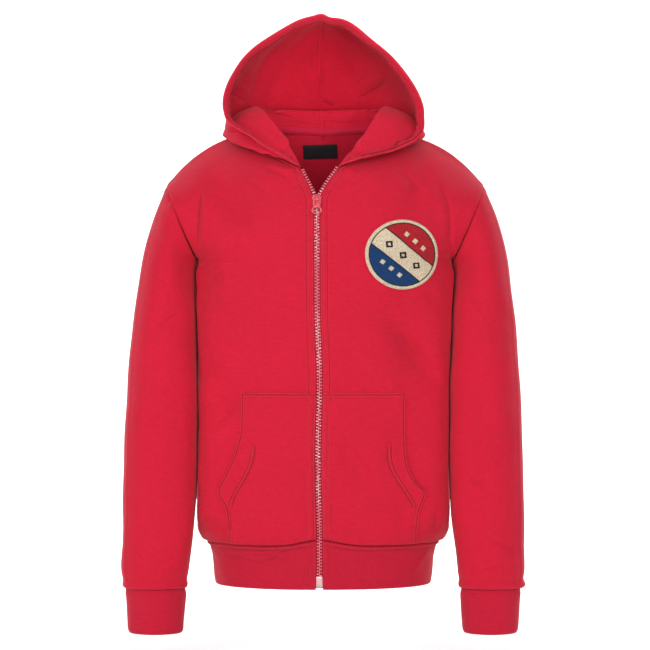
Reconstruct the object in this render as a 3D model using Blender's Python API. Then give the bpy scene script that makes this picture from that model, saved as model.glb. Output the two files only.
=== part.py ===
"""A child's zip-front hooded sweatshirt, filled out as if worn, with nobody inside it.

Frame: +X is the wearer's left, -Y is the front, +Z is up. The origin lies on the
centre plane between the two shoulders, at the height where the wearer holds it up.
Sizes below are in millimetres; MM turns them into metres when a mesh is made.

The cloth pieces are walls through sections. Every section is a cubic arc, given by
its two ends and two leads, and the sections between the named ones are interpolated.
Pieces that meet at a seam are read from the same sections, so they share its curve.
"""

import bpy
import bmesh
import numpy as np
from mathutils import Vector
from mathutils.bvhtree import BVHTree

MM = 0.001

# ---------------------------------------------------------------- driving sizes, mm
CLOTH = 1.9            # brushed sweatshirt fleece
RIB_CLOTH = 2.3        # doubled rib of the cuffs and the hem
TAPE_CLOTH = 1.0       # woven tape of the zip and of the neck
SEAM_GAP = 0.32        # clear distance between two pieces at a seam
LAY_GAP = 0.3          # clear distance between a piece and the panel it lies on

HEM_SEAM = -506.5      # height of the seam between body and hem rib
HEM_LIFT = 8.0         # how much higher the zip holds that seam at the front
HEM_LIFT_WIDE = 32.0

ZIP_HALF = 4.5         # from the zip's middle to the folded edge of a front
ZIP_DEEP = 2.6         # from the fronts' outer surface back to the zip's tapes
CHAIN_WIDE = 3.4       # one half of the chain, in front of its tape
CHAIN_FROM = 0.4       # from the zip's middle to that half
CHAIN_EDGE = 0.4       # width of its rounded edges
ZIP_TAPE_OUT = 7.0     # zip tape hidden behind the front
ZIP_TAPE_UP = 2.0      # how far above the hem's edge the tapes end
BOX_TOP, BOX_HIGH = -545.5, 14.0   # the box at the zip's lower end
BOX_HALF, BOX_PROUD = 4.1, 0.9

SLIDER_TOP, SLIDER_LONG = -63.5, 15.0
SLIDER_CLEAR = 0.35    # between the slider's plates and the chain or the tapes
PLATE_THICK = 1.5
# Rows of the slider's plates: up from its top, half width.
SLIDER_PLATE = [(0.0, 3.4), (-1.2, 5.4), (-3.6, 6.0), (-6.4, 5.7), (-8.4, 5.2), (-10.8, 4.8),
                (-13.6, 4.6), (-15.0, 4.0)]
BRIDGE_TOP_CELL, BRIDGE_FOOT_CELL, POST_CELL = (1, 1), (4, 1), (0, 1)
BRIDGE_HALF = 1.3
# Rings of the bridge from its top end to its foot: its underside's up and out, its back's.
BRIDGE = [(-3.4, 4.0, -1.8, 4.6), (-4.2, 4.7, -3.2, 6.0), (-7.8, 4.7, -8.6, 6.0),
          (-8.5, 4.0, -10.0, 4.9)]
# The pull tab: up, half width, half width of the slot or hole, and the rows of the two.
TAB = [(-5.2, 3.4, 1.9), (-6.8, 4.6, 2.1), (-9.5, 5.0, 2.3), (-12.6, 5.0, 2.1), (-16.0, 4.6, 1.6),
       (-18.0, 4.9, 1.7), (-19.4, 5.6, 3.3), (-21.6, 6.0, 3.9), (-23.6, 5.5, 3.3),
       (-25.0, 4.5, 1.7), (-26.6, 2.6, 1.2)]
TAB_HOLES = [(1, 3), (5, 9)]
TAB_OUT, TAB_THICK = 3.1, 1.3

POCKET_TOP = -313.0
# Outer edge of a pocket from the hem seam up: height, distance from the middle. The hand
# goes in along the slanted stretch, and the lower corner of that stretch is the widest.
POCKET_EDGE = [(-503, 118.0), (-484, 119.5), (-465, 122.0), (-457, 124.0), (-440, 133.0),
               (-415, 122.0), (-389, 110.5), (-363, 104.5), (-338, 103.0), (-313, 103.0)]
PATCH_RADIUS = 44.0
PATCH_X, PATCH_Z = 99.0, -139.0
LABEL_WIDE, LABEL_HIGH = 46.0, 18.0
LABEL_X, LABEL_TOP, LABEL_TILT = -6.0, 13.0, 0.03
LABEL_CLOTH = 0.8
NECK_TAPE_HALF = 4.0
PROBE = 6.0            # how far off a panel is looked for, when a piece is laid on it
SAMPLES = 4            # steps along a triangle's side when it is
LAY_ROUNDS = 5         # times that the piece is tried and lifted

# ---------------------------------------------------------------- how finely it is cut
BODY_COLUMNS = 10      # from the zip to the side seam
BODY_HEIGHTS = [-506.5, -503, -496, -484, -465, -440, -415, -389, -363, -338, -313, -285, -257,
                -230, -204, -178]  # rows of the body's mesh; the yoke's rows follow
YOKE_ROWS = 11         # from the armpit to the shoulder seam
NECK_ROW = 5           # the row of the yoke at which a front reaches its neck edge
YOKE_FOOT = -152.0     # height of the yoke's first row at the zip
ROW_HIGH = 27.0        # height of a row of the body below it
HOOD_ROWS = 17
HOOD_LOW_ROWS = 4      # of those, the rows up to the trough, one on each named line
SLEEVE_ROWS = 15
SLEEVE_SPREAD = 5.0    # how far the middle rows of a sleeve are shifted towards the cuff
POCKET_STEP = 0.8      # how much nearer each column of a pocket ends than the next one
SEARCH_STEPS = 12      # rounds of Newton's method when a place on a panel is looked for
SEARCH_ROWS = 60       # rows of the panel's start line that it begins from
SEARCH_WIDE = 190.0    # length of a row, about, for its first guess
DIFFERENCE = 1e-4      # step of its finite differences

# ---------------------------------------------------------------- sections of the body
# height, half width at the side seam, depth at the zip, of the front, of the back
BODY = [
    (-506.5, 151.5, 95.0, 93.5, 92.5),
    (-503, 155.5, 96.5, 97.0, 96.0),
    (-495, 161.5, 99.0, 103.0, 101.0),
    (-480, 163.5, 102.5, 106.0, 103.5),
    (-440, 164.0, 105.5, 107.0, 104.0),
    (-330, 164.0, 106.0, 106.0, 104.0),
    (-240, 163.8, 108.0, 108.0, 106.0),
    (-185, 163.6, 108.5, 108.5, 107.0),
]
BODY_LEAD = 0.60       # length of a section's leads, as a part of its half width or depth

# Rows of the yoke, from the armpit (0) to the shoulder seam (11):
# where the row starts at the zip or on the neck edge, and the lead it starts with.
FRONT_YOKE = [
    # row, start x, y, z,        lead x, y, z
    (0, 4.5, -108.0, -152.0, 99.0, -108.0, -151.0),
    (2, 4.5, -105.5, -108.0, 92.0, -107.0, -110.0),
    (4, 4.5, -98.0, -70.0, 80.0, -102.0, -76.0),
    (5, 25.5, -80.0, -28.0, 78.0, -90.0, -44.0),
    (7, 56.0, -58.0, -13.0, 92.0, -73.0, -25.0),
    (9, 80.0, -27.0, 10.0, 115.0, -37.0, 1.0),
    (11, 88.0, 3.0, 27.0, 132.0, 3.0, 16.5),
]
BACK_YOKE = [
    (0, 0.0, 106.0, -152.0, 99.0, 106.0, -151.0),
    (2, 0.0, 102.0, -100.0, 90.0, 103.0, -104.0),
    (4, 0.0, 81.0, -18.0, 72.0, 88.0, -36.0),
    (5, 0.0, 60.0, 28.0, 54.0, 69.0, 8.0),
    (7, 46.0, 53.0, 30.0, 86.0, 62.0, 12.0),
    (9, 79.0, 30.0, 30.0, 115.0, 34.0, 15.0),
    (11, 88.0, 3.0, 27.0, 132.0, 3.0, 16.5),
]
# The armhole is a loop from the armpit over the front or the back to the shoulder tip.
ARMPIT = np.array([165.4, 0.0, -143.0])
SHOULDER_TIP = np.array([206.0, 4.0, -47.5])
ARMHOLE_DEPTH = {"front": 60.0, "back": 58.0}
# How a row of the yoke arrives at that loop: its direction there, and the lead's length.
ARMHOLE_FLOW = [
    # row, x, y towards the seam, z, lead
    (0, 0.00, 1.00, 0.00, 62.0),
    (2, 0.42, 0.90, -0.08, 54.0),
    (4, 0.75, 0.60, -0.22, 54.0),
    (5, 0.84, 0.42, -0.30, 53.0),
    (7, 0.90, 0.15, -0.42, 50.0),
    (9, 0.83, 0.00, -0.56, 48.0),
    (11, 0.56, 0.00, -0.83, 60.0),
]

# ---------------------------------------------------------------- sections of a sleeve
# inner point x, z; outer point x, z; half depth; forward shift of the arm
SLEEVE = [
    (165.8, -143.0, 206.0, -47.5, 59.0, -3.0),
    (166.0, -164.0, 223.0, -90.0, 61.0, 5.0),
    (165.0, -190.0, 234.5, -135.0, 61.0, 14.0),
    (163.4, -228.0, 242.0, -190.0, 59.5, 23.0),
    (161.8, -272.0, 248.5, -250.0, 56.0, 31.0),
    (160.8, -335.0, 253.3, -325.0, 51.5, 37.0),
    (161.0, -400.0, 255.5, -395.0, 46.5, 41.0),
    (162.6, -455.0, 257.0, -455.0, 42.0, 43.0),
    (168.5, -508.0, 257.2, -508.0, 38.0, 44.0),
    (172.0, -543.0, 257.8, -543.0, 36.0, 45.0),
    (174.8, -564.0, 255.0, -564.0, 31.5, 45.0),
]
# height, inner x, outer x, half depth, forward shift
CUFF = [
    (-564, 174.6, 254.8, 31.5, 45.0),
    (-576, 175.5, 252.3, 30.0, 45.5),
    (-600, 177.3, 250.7, 28.5, 46.0),
    (-616, 178.6, 249.5, 28.0, 46.0),
    (-621.5, 181.0, 247.2, 27.0, 46.0),
]
# height, half width, depth at the zip, of the front, of the back
HEM = [
    (-506.5, 151.5, 95.0, 93.5, 92.5),
    (-512, 148.0, 94.5, 92.0, 90.5),
    (-526, 143.5, 93.0, 90.5, 89.0),
    (-552, 141.5, 91.5, 89.5, 88.0),
    (-562.5, 139.5, 90.0, 88.0, 86.5),
]

# ---------------------------------------------------------------- the hood
# Lines that run from the face edge round one side to the middle of the back, bottom up.
# Each has seven stations. The neck seam itself is read from the yoke.
HOOD_LOW = {
    "stand": [(26.0, -80.5, -27.0), (52.0, -62.0, 0.0), (78.0, -31.0, 27.0), (89.0, 4.0, 41.0),
              (80.0, 37.0, 44.0), (45.0, 57.0, 43.0), (0.0, 62.5, 42.0)],
    "roll": [(26.5, -81.5, -26.0), (49.0, -65.0, 10.0), (72.0, -33.0, 44.0), (84.0, 3.0, 56.0),
             (77.0, 38.0, 57.0), (43.0, 60.0, 56.0), (0.0, 66.0, 55.0)],
    "inner slope": [(29.0, -84.0, -25.0), (63.0, -63.0, 5.0), (96.0, -34.0, 33.0),
                    (111.0, 4.0, 45.0), (98.0, 47.0, 41.0), (57.0, 77.0, 36.0), (0.0, 84.0, 34.0)],
    "trough": [(34.0, -86.0, -23.0), (74.0, -72.0, -8.0), (114.0, -50.0, 7.0),
               (129.0, -8.0, 19.0), (118.0, 50.0, 15.0), (68.0, 90.0, 8.0), (0.0, 103.0, 6.0)],
}
# Sections of the hood above the trough: side lead x, y, z, then width of the back's
# lead, and the middle of the back y, z. Their front ends lie on the face edge.
HOOD_WALL = {
    "bulge": (160.0, -6.0, 30.0, 92.0, 121.0, 30.0),
    "lower wall": (133.0, 4.0, 54.0, 92.0, 125.0, 60.0),
    "middle wall": (124.0, 8.0, 84.0, 90.0, 126.0, 95.0),
    "upper wall": (106.0, 10.0, 117.0, 78.0, 117.0, 127.0),
    "crown side": (72.0, 8.0, 148.0, 56.0, 96.0, 154.0),
    "crown": (36.0, 4.0, 168.0, 30.0, 70.0, 171.0),
    "top seam": (0.0, 0.0, 177.0, 0.0, 40.0, 178.0),
}
# The face edge from the zip's top end up to the top of the hood, one list for each side;
# its first two points lie between the trough's front end and the bulge's.
FACE_EDGE = {
    "left": [(50.0, -86.0, -16.0), (92.0, -72.0, -4.0), (121.0, -58.0, 13.0), (130.0, -50.0, 42.0),
             (121.5, -44.0, 77.0), (101.0, -39.0, 110.0), (67.0, -32.0, 142.5), (32.0, -25.0, 165.0),
             (0.0, -20.0, 174.5)],
    "right": [(50.0, -86.0, -13.0), (84.0, -72.0, 5.0), (113.0, -58.0, 25.0), (127.5, -50.0, 47.0),
              (121.5, -44.0, 77.0), (101.0, -39.0, 110.0), (67.0, -32.0, 142.5), (32.0, -25.0, 165.0),
              (0.0, -20.0, 174.5)],
}

# ---------------------------------------------------------------- settling of the cloth
# Sideways lean of the whole garment by height, and sway of the zip about it.
LEAN = [(-630, 0.0), (-500, 0.3), (-300, 1.0), (-80, 3.0), (0, 2.5), (30, -0.5), (70, -3.5),
        (115, -5.0), (155, -4.0), (180, -1.0)]
ZIP_SWAY = [(-560, -4.7), (-500, -4.7), (-400, -6.9), (-300, -5.4), (-200, -9.3), (-70, -10.8),
            (-24, -8.0), (20, 0.0)]
ZIP_SWAY_WIDE = 70.0
# The largest folds: which pieces take them, the two ends of the fold's line in x and z,
# its half width, and its depth (a trough is negative), on the front or the back.
FOLDS = [
    # pieces, x0, z0, x1, z1, half width, depth, face
    ("body", 78, -208, 150, -312, 15, -5.0, "front"),
    ("body", 52, -250, 118, -345, 17, 3.0, "front"),
    ("body", 16, -366, 64, -436, 13, -3.0, "front"),
    ("body", -152, -270, -108, -360, 15, -4.0, "front"),
    ("body", -126, -22, -72, -112, 16, -4.5, "front"),
    ("body", 134, -26, 104, -84, 14, -4.0, "front"),
    ("body", -138, -120, -120, -206, 14, 3.0, "front"),
    ("body", -96, -60, -150, -190, 18, -4.0, "back"),
    ("body", 100, -70, 146, -200, 18, -4.0, "back"),
    ("body", -60, -330, 90, -390, 22, -4.0, "back"),
    ("body", -120, -420, 40, -462, 18, 4.0, "back"),
    ("sleeve", 196, -190, 248, -240, 14, -4.0, "front"),
    ("sleeve", 182, -300, 240, -345, 14, 3.5, "front"),
    ("sleeve", 190, -400, 250, -372, 12, -3.0, "front"),
    ("sleeve", 190, -500, 250, -525, 11, 3.0, "front"),
    ("sleeve", 190, -260, 250, -310, 14, -4.0, "back"),
    ("sleeve", 190, -330, 250, -300, 12, 4.0, "back"),
    ("sleeve", 185, -470, 245, -430, 12, -3.5, "back"),
    ("sleeve", 188, -520, 250, -545, 10, 3.0, "back"),
]

# ================================================================ arithmetic of curves
def glide(at, knots, values):
    """A smooth curve through the values at the knots that never overshoots them.

    Its slope at a knot is the weighted harmonic mean of the slopes on its two sides,
    or nothing where they turn.
    """
    at = np.clip(np.asarray(at, float), knots[0], knots[-1])
    knots = np.asarray(knots, float)
    values = np.asarray(values, float)
    flat = values.reshape(len(knots), -1)
    gap = np.diff(knots)[:, None]
    slope = np.diff(flat, axis=0) / gap
    left, right = slope[:-1], slope[1:]
    weight_l = 2 * gap[1:] + gap[:-1]
    weight_r = gap[1:] + 2 * gap[:-1]
    same = left * right > 0
    safe_l = np.where(same, left, 1.0)
    safe_r = np.where(same, right, 1.0)
    inner = np.where(same, (weight_l + weight_r) / (weight_l / safe_l + weight_r / safe_r), 0.0)
    tangent = np.vstack([slope[:1], inner, slope[-1:]])
    cell = np.clip(np.searchsorted(knots, at, side="right") - 1, 0, len(knots) - 2)
    width = gap[cell]
    t = ((at - knots[cell])[..., None]) / width
    out = (flat[cell] * (1 + 2 * t) * (1 - t) ** 2 + tangent[cell] * width * t * (1 - t) ** 2
           + flat[cell + 1] * t * t * (3 - 2 * t) - tangent[cell + 1] * width * t * t * (1 - t))
    return out.reshape(at.shape + values.shape[1:])


def flow(at, knots, values):
    """A smooth curve through the values, with slopes taken across each knot's neighbours."""
    at = np.clip(np.asarray(at, float), knots[0], knots[-1])
    knots = np.asarray(knots, float)
    values = np.asarray(values, float)
    gap = np.diff(knots)
    shape = (-1,) + (1,) * (values.ndim - 1)
    slope = np.diff(values, axis=0) / gap.reshape(shape)
    share = (gap[:-1] / (gap[:-1] + gap[1:])).reshape(shape)
    tangent = np.concatenate([slope[:1], slope[:-1] * (1 - share) + slope[1:] * share, slope[-1:]])
    cell = np.clip(np.searchsorted(knots, at, side="right") - 1, 0, len(knots) - 2)
    grow = (...,) + (None,) * (values.ndim - 1)
    width = gap[cell][grow]
    t = (at - knots[cell])[grow] / width
    return (values[cell] * (1 + 2 * t) * (1 - t) ** 2 + tangent[cell] * width * t * (1 - t) ** 2
            + values[cell + 1] * t * t * (3 - 2 * t) - tangent[cell + 1] * width * t * t * (1 - t))


def arc(net, s):
    """Points of the cubic arcs whose ends and leads are net[..., 4, 3], at s from 0 to 1."""
    s = np.asarray(s, float)[..., None]
    p0, p1, p2, p3 = (net[..., k, :] for k in range(4))
    return (1 - s) ** 3 * p0 + 3 * s * (1 - s) ** 2 * p1 + 3 * s * s * (1 - s) * p2 + s ** 3 * p3


def fade(x):
    """0 below 0, 1 above 1, smooth between."""
    x = np.clip(x, 0.0, 1.0)
    return x * x * (3 - 2 * x)


# ================================================================ the body's sections
def armhole(row, face):
    """The armhole loop at a row of the yoke: a half turn from the armpit to the tip."""
    turn = np.pi * np.asarray(row, float)[..., None] / YOKE_ROWS
    middle = (ARMPIT + SHOULDER_TIP) / 2
    up = (SHOULDER_TIP - ARMPIT) / 2
    out = np.array([1.0, -1.0 if face == "front" else 1.0, 0.0]) * [1.0, ARMHOLE_DEPTH[face], 0.0]
    return middle - np.cos(turn) * up + np.sin(turn) * out


def body_row(height):
    """The row that a height of the body has: the yoke's rows count on from its own."""
    return (np.asarray(height, float) - YOKE_FOOT) / ROW_HIGH


def body_nets(face):
    """Knots and nets of the body's sections, hem seam to shoulder seam."""
    sign = -1.0 if face == "front" else 1.0
    start_x = ZIP_HALF if face == "front" else 0.0
    knots, nets = [], []
    for height, wide, zip_deep, front, back in BODY:
        deep = sign * (front if face == "front" else back)
        knots.append(body_row(height))
        nets.append([(start_x, -zip_deep if face == "front" else deep, height),
                     (BODY_LEAD * wide, deep, height),
                     (wide, BODY_LEAD * deep, height), (wide, 0.0, height)])
    flows = np.array(ARMHOLE_FLOW)
    for row, x0, y0, z0, x1, y1, z1 in (FRONT_YOKE if face == "front" else BACK_YOKE):
        way = flow(row, flows[:, 0], flows[:, 1:])
        end = armhole(row, face)
        step = way[:3] / np.linalg.norm(way[:3]) * [1.0, -sign, 1.0] * way[3]
        knots.append(row)
        nets.append([(x0, y0, z0), (x1, y1, z1), tuple(end - step), tuple(end)])
    return np.array(knots, float), np.array(nets, float)


def body_point(face, row, s):
    """The outer surface of one half of the front or back, at a row and a part s of it.

    The line along which the rows start turns a corner where the neck edge begins.
    """
    row = np.asarray(row, float)
    knots, nets = body_nets(face)
    net = flow(row, knots, nets)
    low, high = knots <= NECK_ROW, knots >= NECK_ROW
    below = glide(row, knots[low], nets[low, 0])
    above = flow(row, knots[high], nets[high, 0])
    net[..., 0, :] = np.where(row[..., None] <= NECK_ROW, below, above)
    yoke = row >= 0
    net[yoke, 3] = armhole(row, face)[yoke]
    net[~yoke, 3, 1] = 0.0
    return arc(net, s)


def body_columns():
    """Parts of a section at which it is cut into columns, closer together at its ends."""
    s = np.linspace(0, 1, BODY_COLUMNS + 1)
    return s + 0.25 * s * (1 - s) * (1 - 2 * s)


def body_grid(face):
    """Rows from the hem seam to the shoulder seam, columns from the middle to the side."""
    rows = np.concatenate([body_row(BODY_HEIGHTS), np.arange(YOKE_ROWS + 1.0)])
    rows[0] += SEAM_GAP / 2 / ROW_HIGH
    rows[-1] -= 0.01
    s = body_columns()
    s[-1] -= SEAM_GAP / 2 / 125
    row, part = np.meshgrid(rows, s, indexing="ij")
    return body_point(face, row, part)


def neck_seam():
    """The neck seam of one side, from the zip's top end round to the middle of the back."""
    rows = np.arange(NECK_ROW, YOKE_ROWS + 1.0)
    front, back = (body_point(face, rows, np.zeros(len(rows))) for face in ("front", "back"))
    return np.concatenate([front, back[-2::-1]])


# ================================================================ settling of the cloth
def settle(points, pieces):
    """Lean, sway and fold the ideal, even garment into the way the cloth really lies.

    A fold moves points along y by its depth, falling off as a bell across its line and
    more slowly past its ends, and only on its own face of the garment.
    """
    p = np.array(points, float)
    x, y, z = p[..., 0].copy(), p[..., 1].copy(), p[..., 2].copy()
    lean = np.array(LEAN)
    p[..., 0] += glide(z, lean[:, 0], lean[:, 1])
    if pieces != "sleeve":
        sway = np.array(ZIP_SWAY)
        near = np.exp(-(x / ZIP_SWAY_WIDE) ** 2) * fade(-y / 40)
        p[..., 0] += glide(z, sway[:, 0], sway[:, 1]) * near
        lift = np.exp(-(x / HEM_LIFT_WIDE) ** 2) * np.exp(-((z - HEM_SEAM) / 30) ** 2)
        p[..., 2] += HEM_LIFT * lift * fade(-y / 40)
    for group, x0, z0, x1, z1, wide, deep, face in FOLDS:
        if group != pieces:
            continue
        side = -1.0 if face == "front" else 1.0
        long = np.hypot(x1 - x0, z1 - z0)
        ux, uz = (x1 - x0) / long, (z1 - z0) / long
        along = ((x - x0) * ux + (z - z0) * uz) / long - 0.5
        across = (-(x - x0) * uz + (z - z0) * ux) / wide
        here = np.exp(-across ** 2) * np.exp(-(np.abs(along) / 0.52) ** 4)
        if pieces == "body":
            here = here * fade(side * y / 45) * fade((z + 500) / 40) * fade((172 - np.abs(x)) / 25)
        else:
            here = here * fade((side * (y + 40) + 6) / 30) * fade((-150 - z) / 40) * fade((z + 560) / 20)
        p[..., 1] += side * deep * here
    return p


# ================================================================ walls from surfaces
def grid_faces(rows, columns, closed=False, first=0):
    """Quads of a grid of points, stored row by row; closed joins its last column to its first."""
    r, c = np.meshgrid(np.arange(rows - 1), np.arange(columns if closed else columns - 1),
                       indexing="ij")
    here = r * columns + c
    beside = r * columns + (c + 1) % columns
    quads = np.stack([here, beside, beside + columns, here + columns], axis=-1)
    return quads.reshape(-1, 4) + first


def point_normals(points, faces):
    """Unit normals at the points, each the mean of the faces round it, by their area."""
    a, b, c, d = (points[faces[:, k]] for k in range(4))
    face = np.cross(c - a, d - b)
    out = np.zeros_like(points)
    for k in range(4):
        np.add.at(out, faces[:, k], face)
    return out / np.maximum(np.linalg.norm(out, axis=1, keepdims=True), 1e-9)


def wall(points, faces, thick, level=(), given=None):
    """A closed wall: the surface, a second one inside it, and a rim round each free edge.

    level lists pairs of a mask of points and an axis. There the wall's thickness keeps
    clear of that axis, so that two pieces meet at a seam with square, parallel edges.
    given is a mask of points and the directions of the thickness there, for the same end.
    """
    normal = point_normals(points, faces)
    if given is not None:
        normal[given[0]] = given[1]
    for mask, axis in level:
        normal[mask, axis] = 0.0
    normal /= np.linalg.norm(normal, axis=1, keepdims=True)
    return closed(points, points - normal * thick, faces)


def split(quads):
    """Two triangles for each quad, always on the diagonal from its first corner."""
    return np.concatenate([quads[:, [0, 1, 2]], quads[:, [0, 2, 3]]])


def closed(outer, inner, faces):
    """A closed wall between two surfaces that have the same faces."""
    edges = np.concatenate([faces[:, [k, (k + 1) % 4]] for k in range(4)])
    seen = {(int(a), int(b)) for a, b in edges}
    rim = [(b, a, a + len(outer), b + len(outer)) for a, b in seen if (b, a) not in seen]
    skin = split(faces)
    solid = np.concatenate([skin, skin[:, ::-1] + len(outer), split(np.array(sorted(rim)))])
    return np.concatenate([outer, inner]), solid


def material(name, colour, rough, metal=0.0):
    """A plain Principled material, made once for each name."""
    found = bpy.data.materials.get(name)
    if found:
        return found
    made = bpy.data.materials.new(name)
    made.use_nodes = True
    shader = made.node_tree.nodes["Principled BSDF"]
    shader.inputs["Base Color"].default_value = (*colour, 1.0)
    shader.inputs["Roughness"].default_value = rough
    shader.inputs["Metallic"].default_value = metal
    return made


FLEECE = ("red fleece", (0.62, 0.022, 0.045), 0.9, 0.0)
RIB_KNIT = ("red rib knit", (0.55, 0.02, 0.042), 0.92, 0.0)
WOVEN = ("red woven tape", (0.58, 0.02, 0.04), 0.8, 0.0)
BLACK_WEAVE = ("black label weave", (0.012, 0.012, 0.014), 0.6, 0.0)
CREAM_FELT = ("patch felt", (0.68, 0.60, 0.47), 0.95, 0.0)
RED_PAINT = ("red painted metal", (0.75, 0.05, 0.07), 0.3, 0.3)
PALE_METAL = ("pale metal", (0.75, 0.62, 0.62), 0.3, 0.9)


def make(name, points, faces, finish, pivot=(0.0, 0.0, 0.0)):
    """One object from points in millimetres; its faces are turned outwards.

    Its own origin lies at the pivot.
    """
    mesh = bpy.data.meshes.new(name)
    points = (np.asarray(points) - pivot) * MM
    mesh.from_pydata(points.tolist(), [], [tuple(map(int, f)) for f in faces])
    shape = bmesh.new()
    shape.from_mesh(mesh)
    bmesh.ops.remove_doubles(shape, verts=shape.verts, dist=1e-7)
    bmesh.ops.recalc_face_normals(shape, faces=shape.faces)
    shape.to_mesh(mesh)
    shape.free()
    mesh.shade_smooth()
    mesh.set_sharp_from_angle(angle=0.7)
    mesh.materials.append(material(*finish))
    piece = bpy.data.objects.new(name, mesh)
    piece.location = np.asarray(pivot) * MM
    bpy.context.collection.objects.link(piece)
    return piece


def mirrored(points, side):
    """The points on the wearer's left (+1) or right (-1)."""
    return points * [side, 1.0, 1.0]


def turned(faces, flip):
    """The faces, turned round where flip is true; each keeps its first corner."""
    return faces[:, [0, 3, 2, 1]] if flip else faces


SIDES = (("left", 1.0), ("right", -1.0))


# ================================================================ the garment's pieces
def seam_mask(rows, columns):
    """The points of a body grid on its side seam and its shoulder seam."""
    mask = np.zeros((rows, columns), bool)
    mask[:len(BODY_HEIGHTS) + 1, -1] = True
    mask[-1] = True
    return mask.ravel()


def armhole_mitre():
    """The direction of the thickness at the armhole seam, from the armpit round the front.

    It is the mean of the body's normal and the sleeve's, so that the two have parallel
    edges; at the armpit, where they turn apart, a little of straight down is added.
    """
    loop = []
    for face, rows in (("front", slice(0, None)), ("back", slice(-2, 0, -1))):
        grid = body_grid(face)
        faces = turned(grid_faces(*grid.shape[:2]), face == "back")
        normals = point_normals(grid.reshape(-1, 3), faces).reshape(grid.shape)
        loop.append(normals[len(BODY_HEIGHTS):, -1][rows])
    rings = sleeve_rings()
    faces = grid_faces(*rings.shape[:2], closed=True)[:, ::-1]
    sleeve = point_normals(rings.reshape(-1, 3), faces)[:rings.shape[1]]
    both = np.concatenate(loop) + sleeve + [0.0, 0.0, -0.3]
    both[[0, YOKE_ROWS], 1] = 0.0
    return both / np.linalg.norm(both, axis=1, keepdims=True)


def armhole_part(shape, face):
    """The points of a body grid on the armhole, and the mitre's direction at each."""
    mask = np.zeros(shape, bool)
    mask[len(BODY_HEIGHTS):, -1] = True
    mitre = armhole_mitre()
    if face == "back":
        mitre = np.concatenate([mitre[:1], mitre[:YOKE_ROWS - 1:-1]])
    return mask.ravel(), mitre[:YOKE_ROWS + 1]


def make_fronts():
    """The two fronts, each from the zip to its side seam."""
    grid = body_grid("front")
    shape = grid.shape[:2]
    seams = [(seam_mask(*shape), 1)]
    for name, side in SIDES:
        points = settle(mirrored(grid.reshape(-1, 3), side), "body")
        mask, mitre = armhole_part(shape, "front")
        faces = turned(grid_faces(*shape), side < 0)
        shared = (mask, mirrored(mitre, side))
        make(f"front_{name}", *wall(points, faces, CLOTH, seams, shared), FLEECE)


def make_back():
    """The back, cut in one piece: two mirrored halves that share the middle line."""
    grid = body_grid("back")
    rows, columns = grid.shape[:2]
    joined = len(BODY_HEIGHTS) + NECK_ROW + 1
    left = grid.reshape(-1, 3)
    faces_l = turned(grid_faces(rows, columns), True)
    number = np.arange(rows * columns) + rows * columns
    number[:joined * columns:columns] -= rows * columns
    faces_r = number[turned(faces_l, True)]
    points = np.concatenate([left, mirrored(left, -1.0)])
    used = np.unique(np.concatenate([faces_l, faces_r]))
    renumber = np.zeros(len(points), int)
    renumber[used] = np.arange(len(used))
    faces = renumber[np.concatenate([faces_l, faces_r])]
    seams = [(np.tile(seam_mask(rows, columns), 2)[used], 1)]
    mask, mitre = armhole_part((rows, columns), "back")
    shared = (np.tile(mask, 2)[used], np.concatenate([mitre, mirrored(mitre, -1.0)]))
    make("back", *wall(settle(points[used], "body"), faces, CLOTH, seams, shared), FLEECE)


def sleeve_ring(inner_x, inner_z, outer_x, outer_z, deep, forward, turn):
    """One ring of a sleeve: an ellipse between its inner and outer points, tilted with them."""
    middle = np.stack([(inner_x + outer_x) / 2, -forward, (inner_z + outer_z) / 2], axis=-1)
    up = np.stack([(outer_x - inner_x) / 2, 0 * forward, (outer_z - inner_z) / 2], axis=-1)
    point = middle[:, None] - np.cos(turn)[None, :, None] * up[:, None]
    point[..., 1] -= np.sin(turn)[None, :] * deep[:, None]
    return point


def half_turns():
    """The angles of a sleeve's rings: they match the yoke's rows, front and then back."""
    half = np.pi * np.arange(YOKE_ROWS + 1) / YOKE_ROWS
    return np.concatenate([half, -half[-2:0:-1]])


def sleeve_rings():
    """Rings from the armhole, which the first meets point for point, to the cuff."""
    table = np.array(SLEEVE)
    travel = np.concatenate([[0.0], np.cumsum(np.hypot(
        np.diff(table[:, 0] + table[:, 2]), np.diff(table[:, 1] + table[:, 3])) / 2)])
    at = np.linspace(0, travel[-1], SLEEVE_ROWS + 1)
    at[1:-1] += SLEEVE_SPREAD * np.sin(np.pi * np.arange(1, SLEEVE_ROWS) / SLEEVE_ROWS)
    at[-1] -= SEAM_GAP
    rings = sleeve_ring(*flow(at, travel, table).T, half_turns())
    rows = np.arange(YOKE_ROWS + 1)
    rings[0] = np.concatenate([armhole(rows, "front"), armhole(rows, "back")[-2:0:-1]])
    return rings


def make_sleeves():
    """The sleeves: rings from the armhole to the cuff."""
    rings = sleeve_rings()
    faces = grid_faces(*rings.shape[:2], closed=True)
    head = np.zeros(rings.shape[:2], bool)
    head[0] = True
    mitre = armhole_mitre()
    apart = np.cross(np.roll(rings[0], -1, axis=0) - np.roll(rings[0], 1, axis=0), mitre)
    apart /= np.linalg.norm(apart, axis=1, keepdims=True)
    rings[0] += apart * np.sign(apart[:, :1]) * 1.5 * SEAM_GAP
    for name, side in SIDES:
        points = settle(mirrored(rings.reshape(-1, 3), side), "sleeve")
        shared = (head.ravel(), mirrored(mitre, side))
        make(f"sleeve_{name}", *wall(points, turned(faces, side > 0), CLOTH, given=shared), FLEECE)


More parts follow.
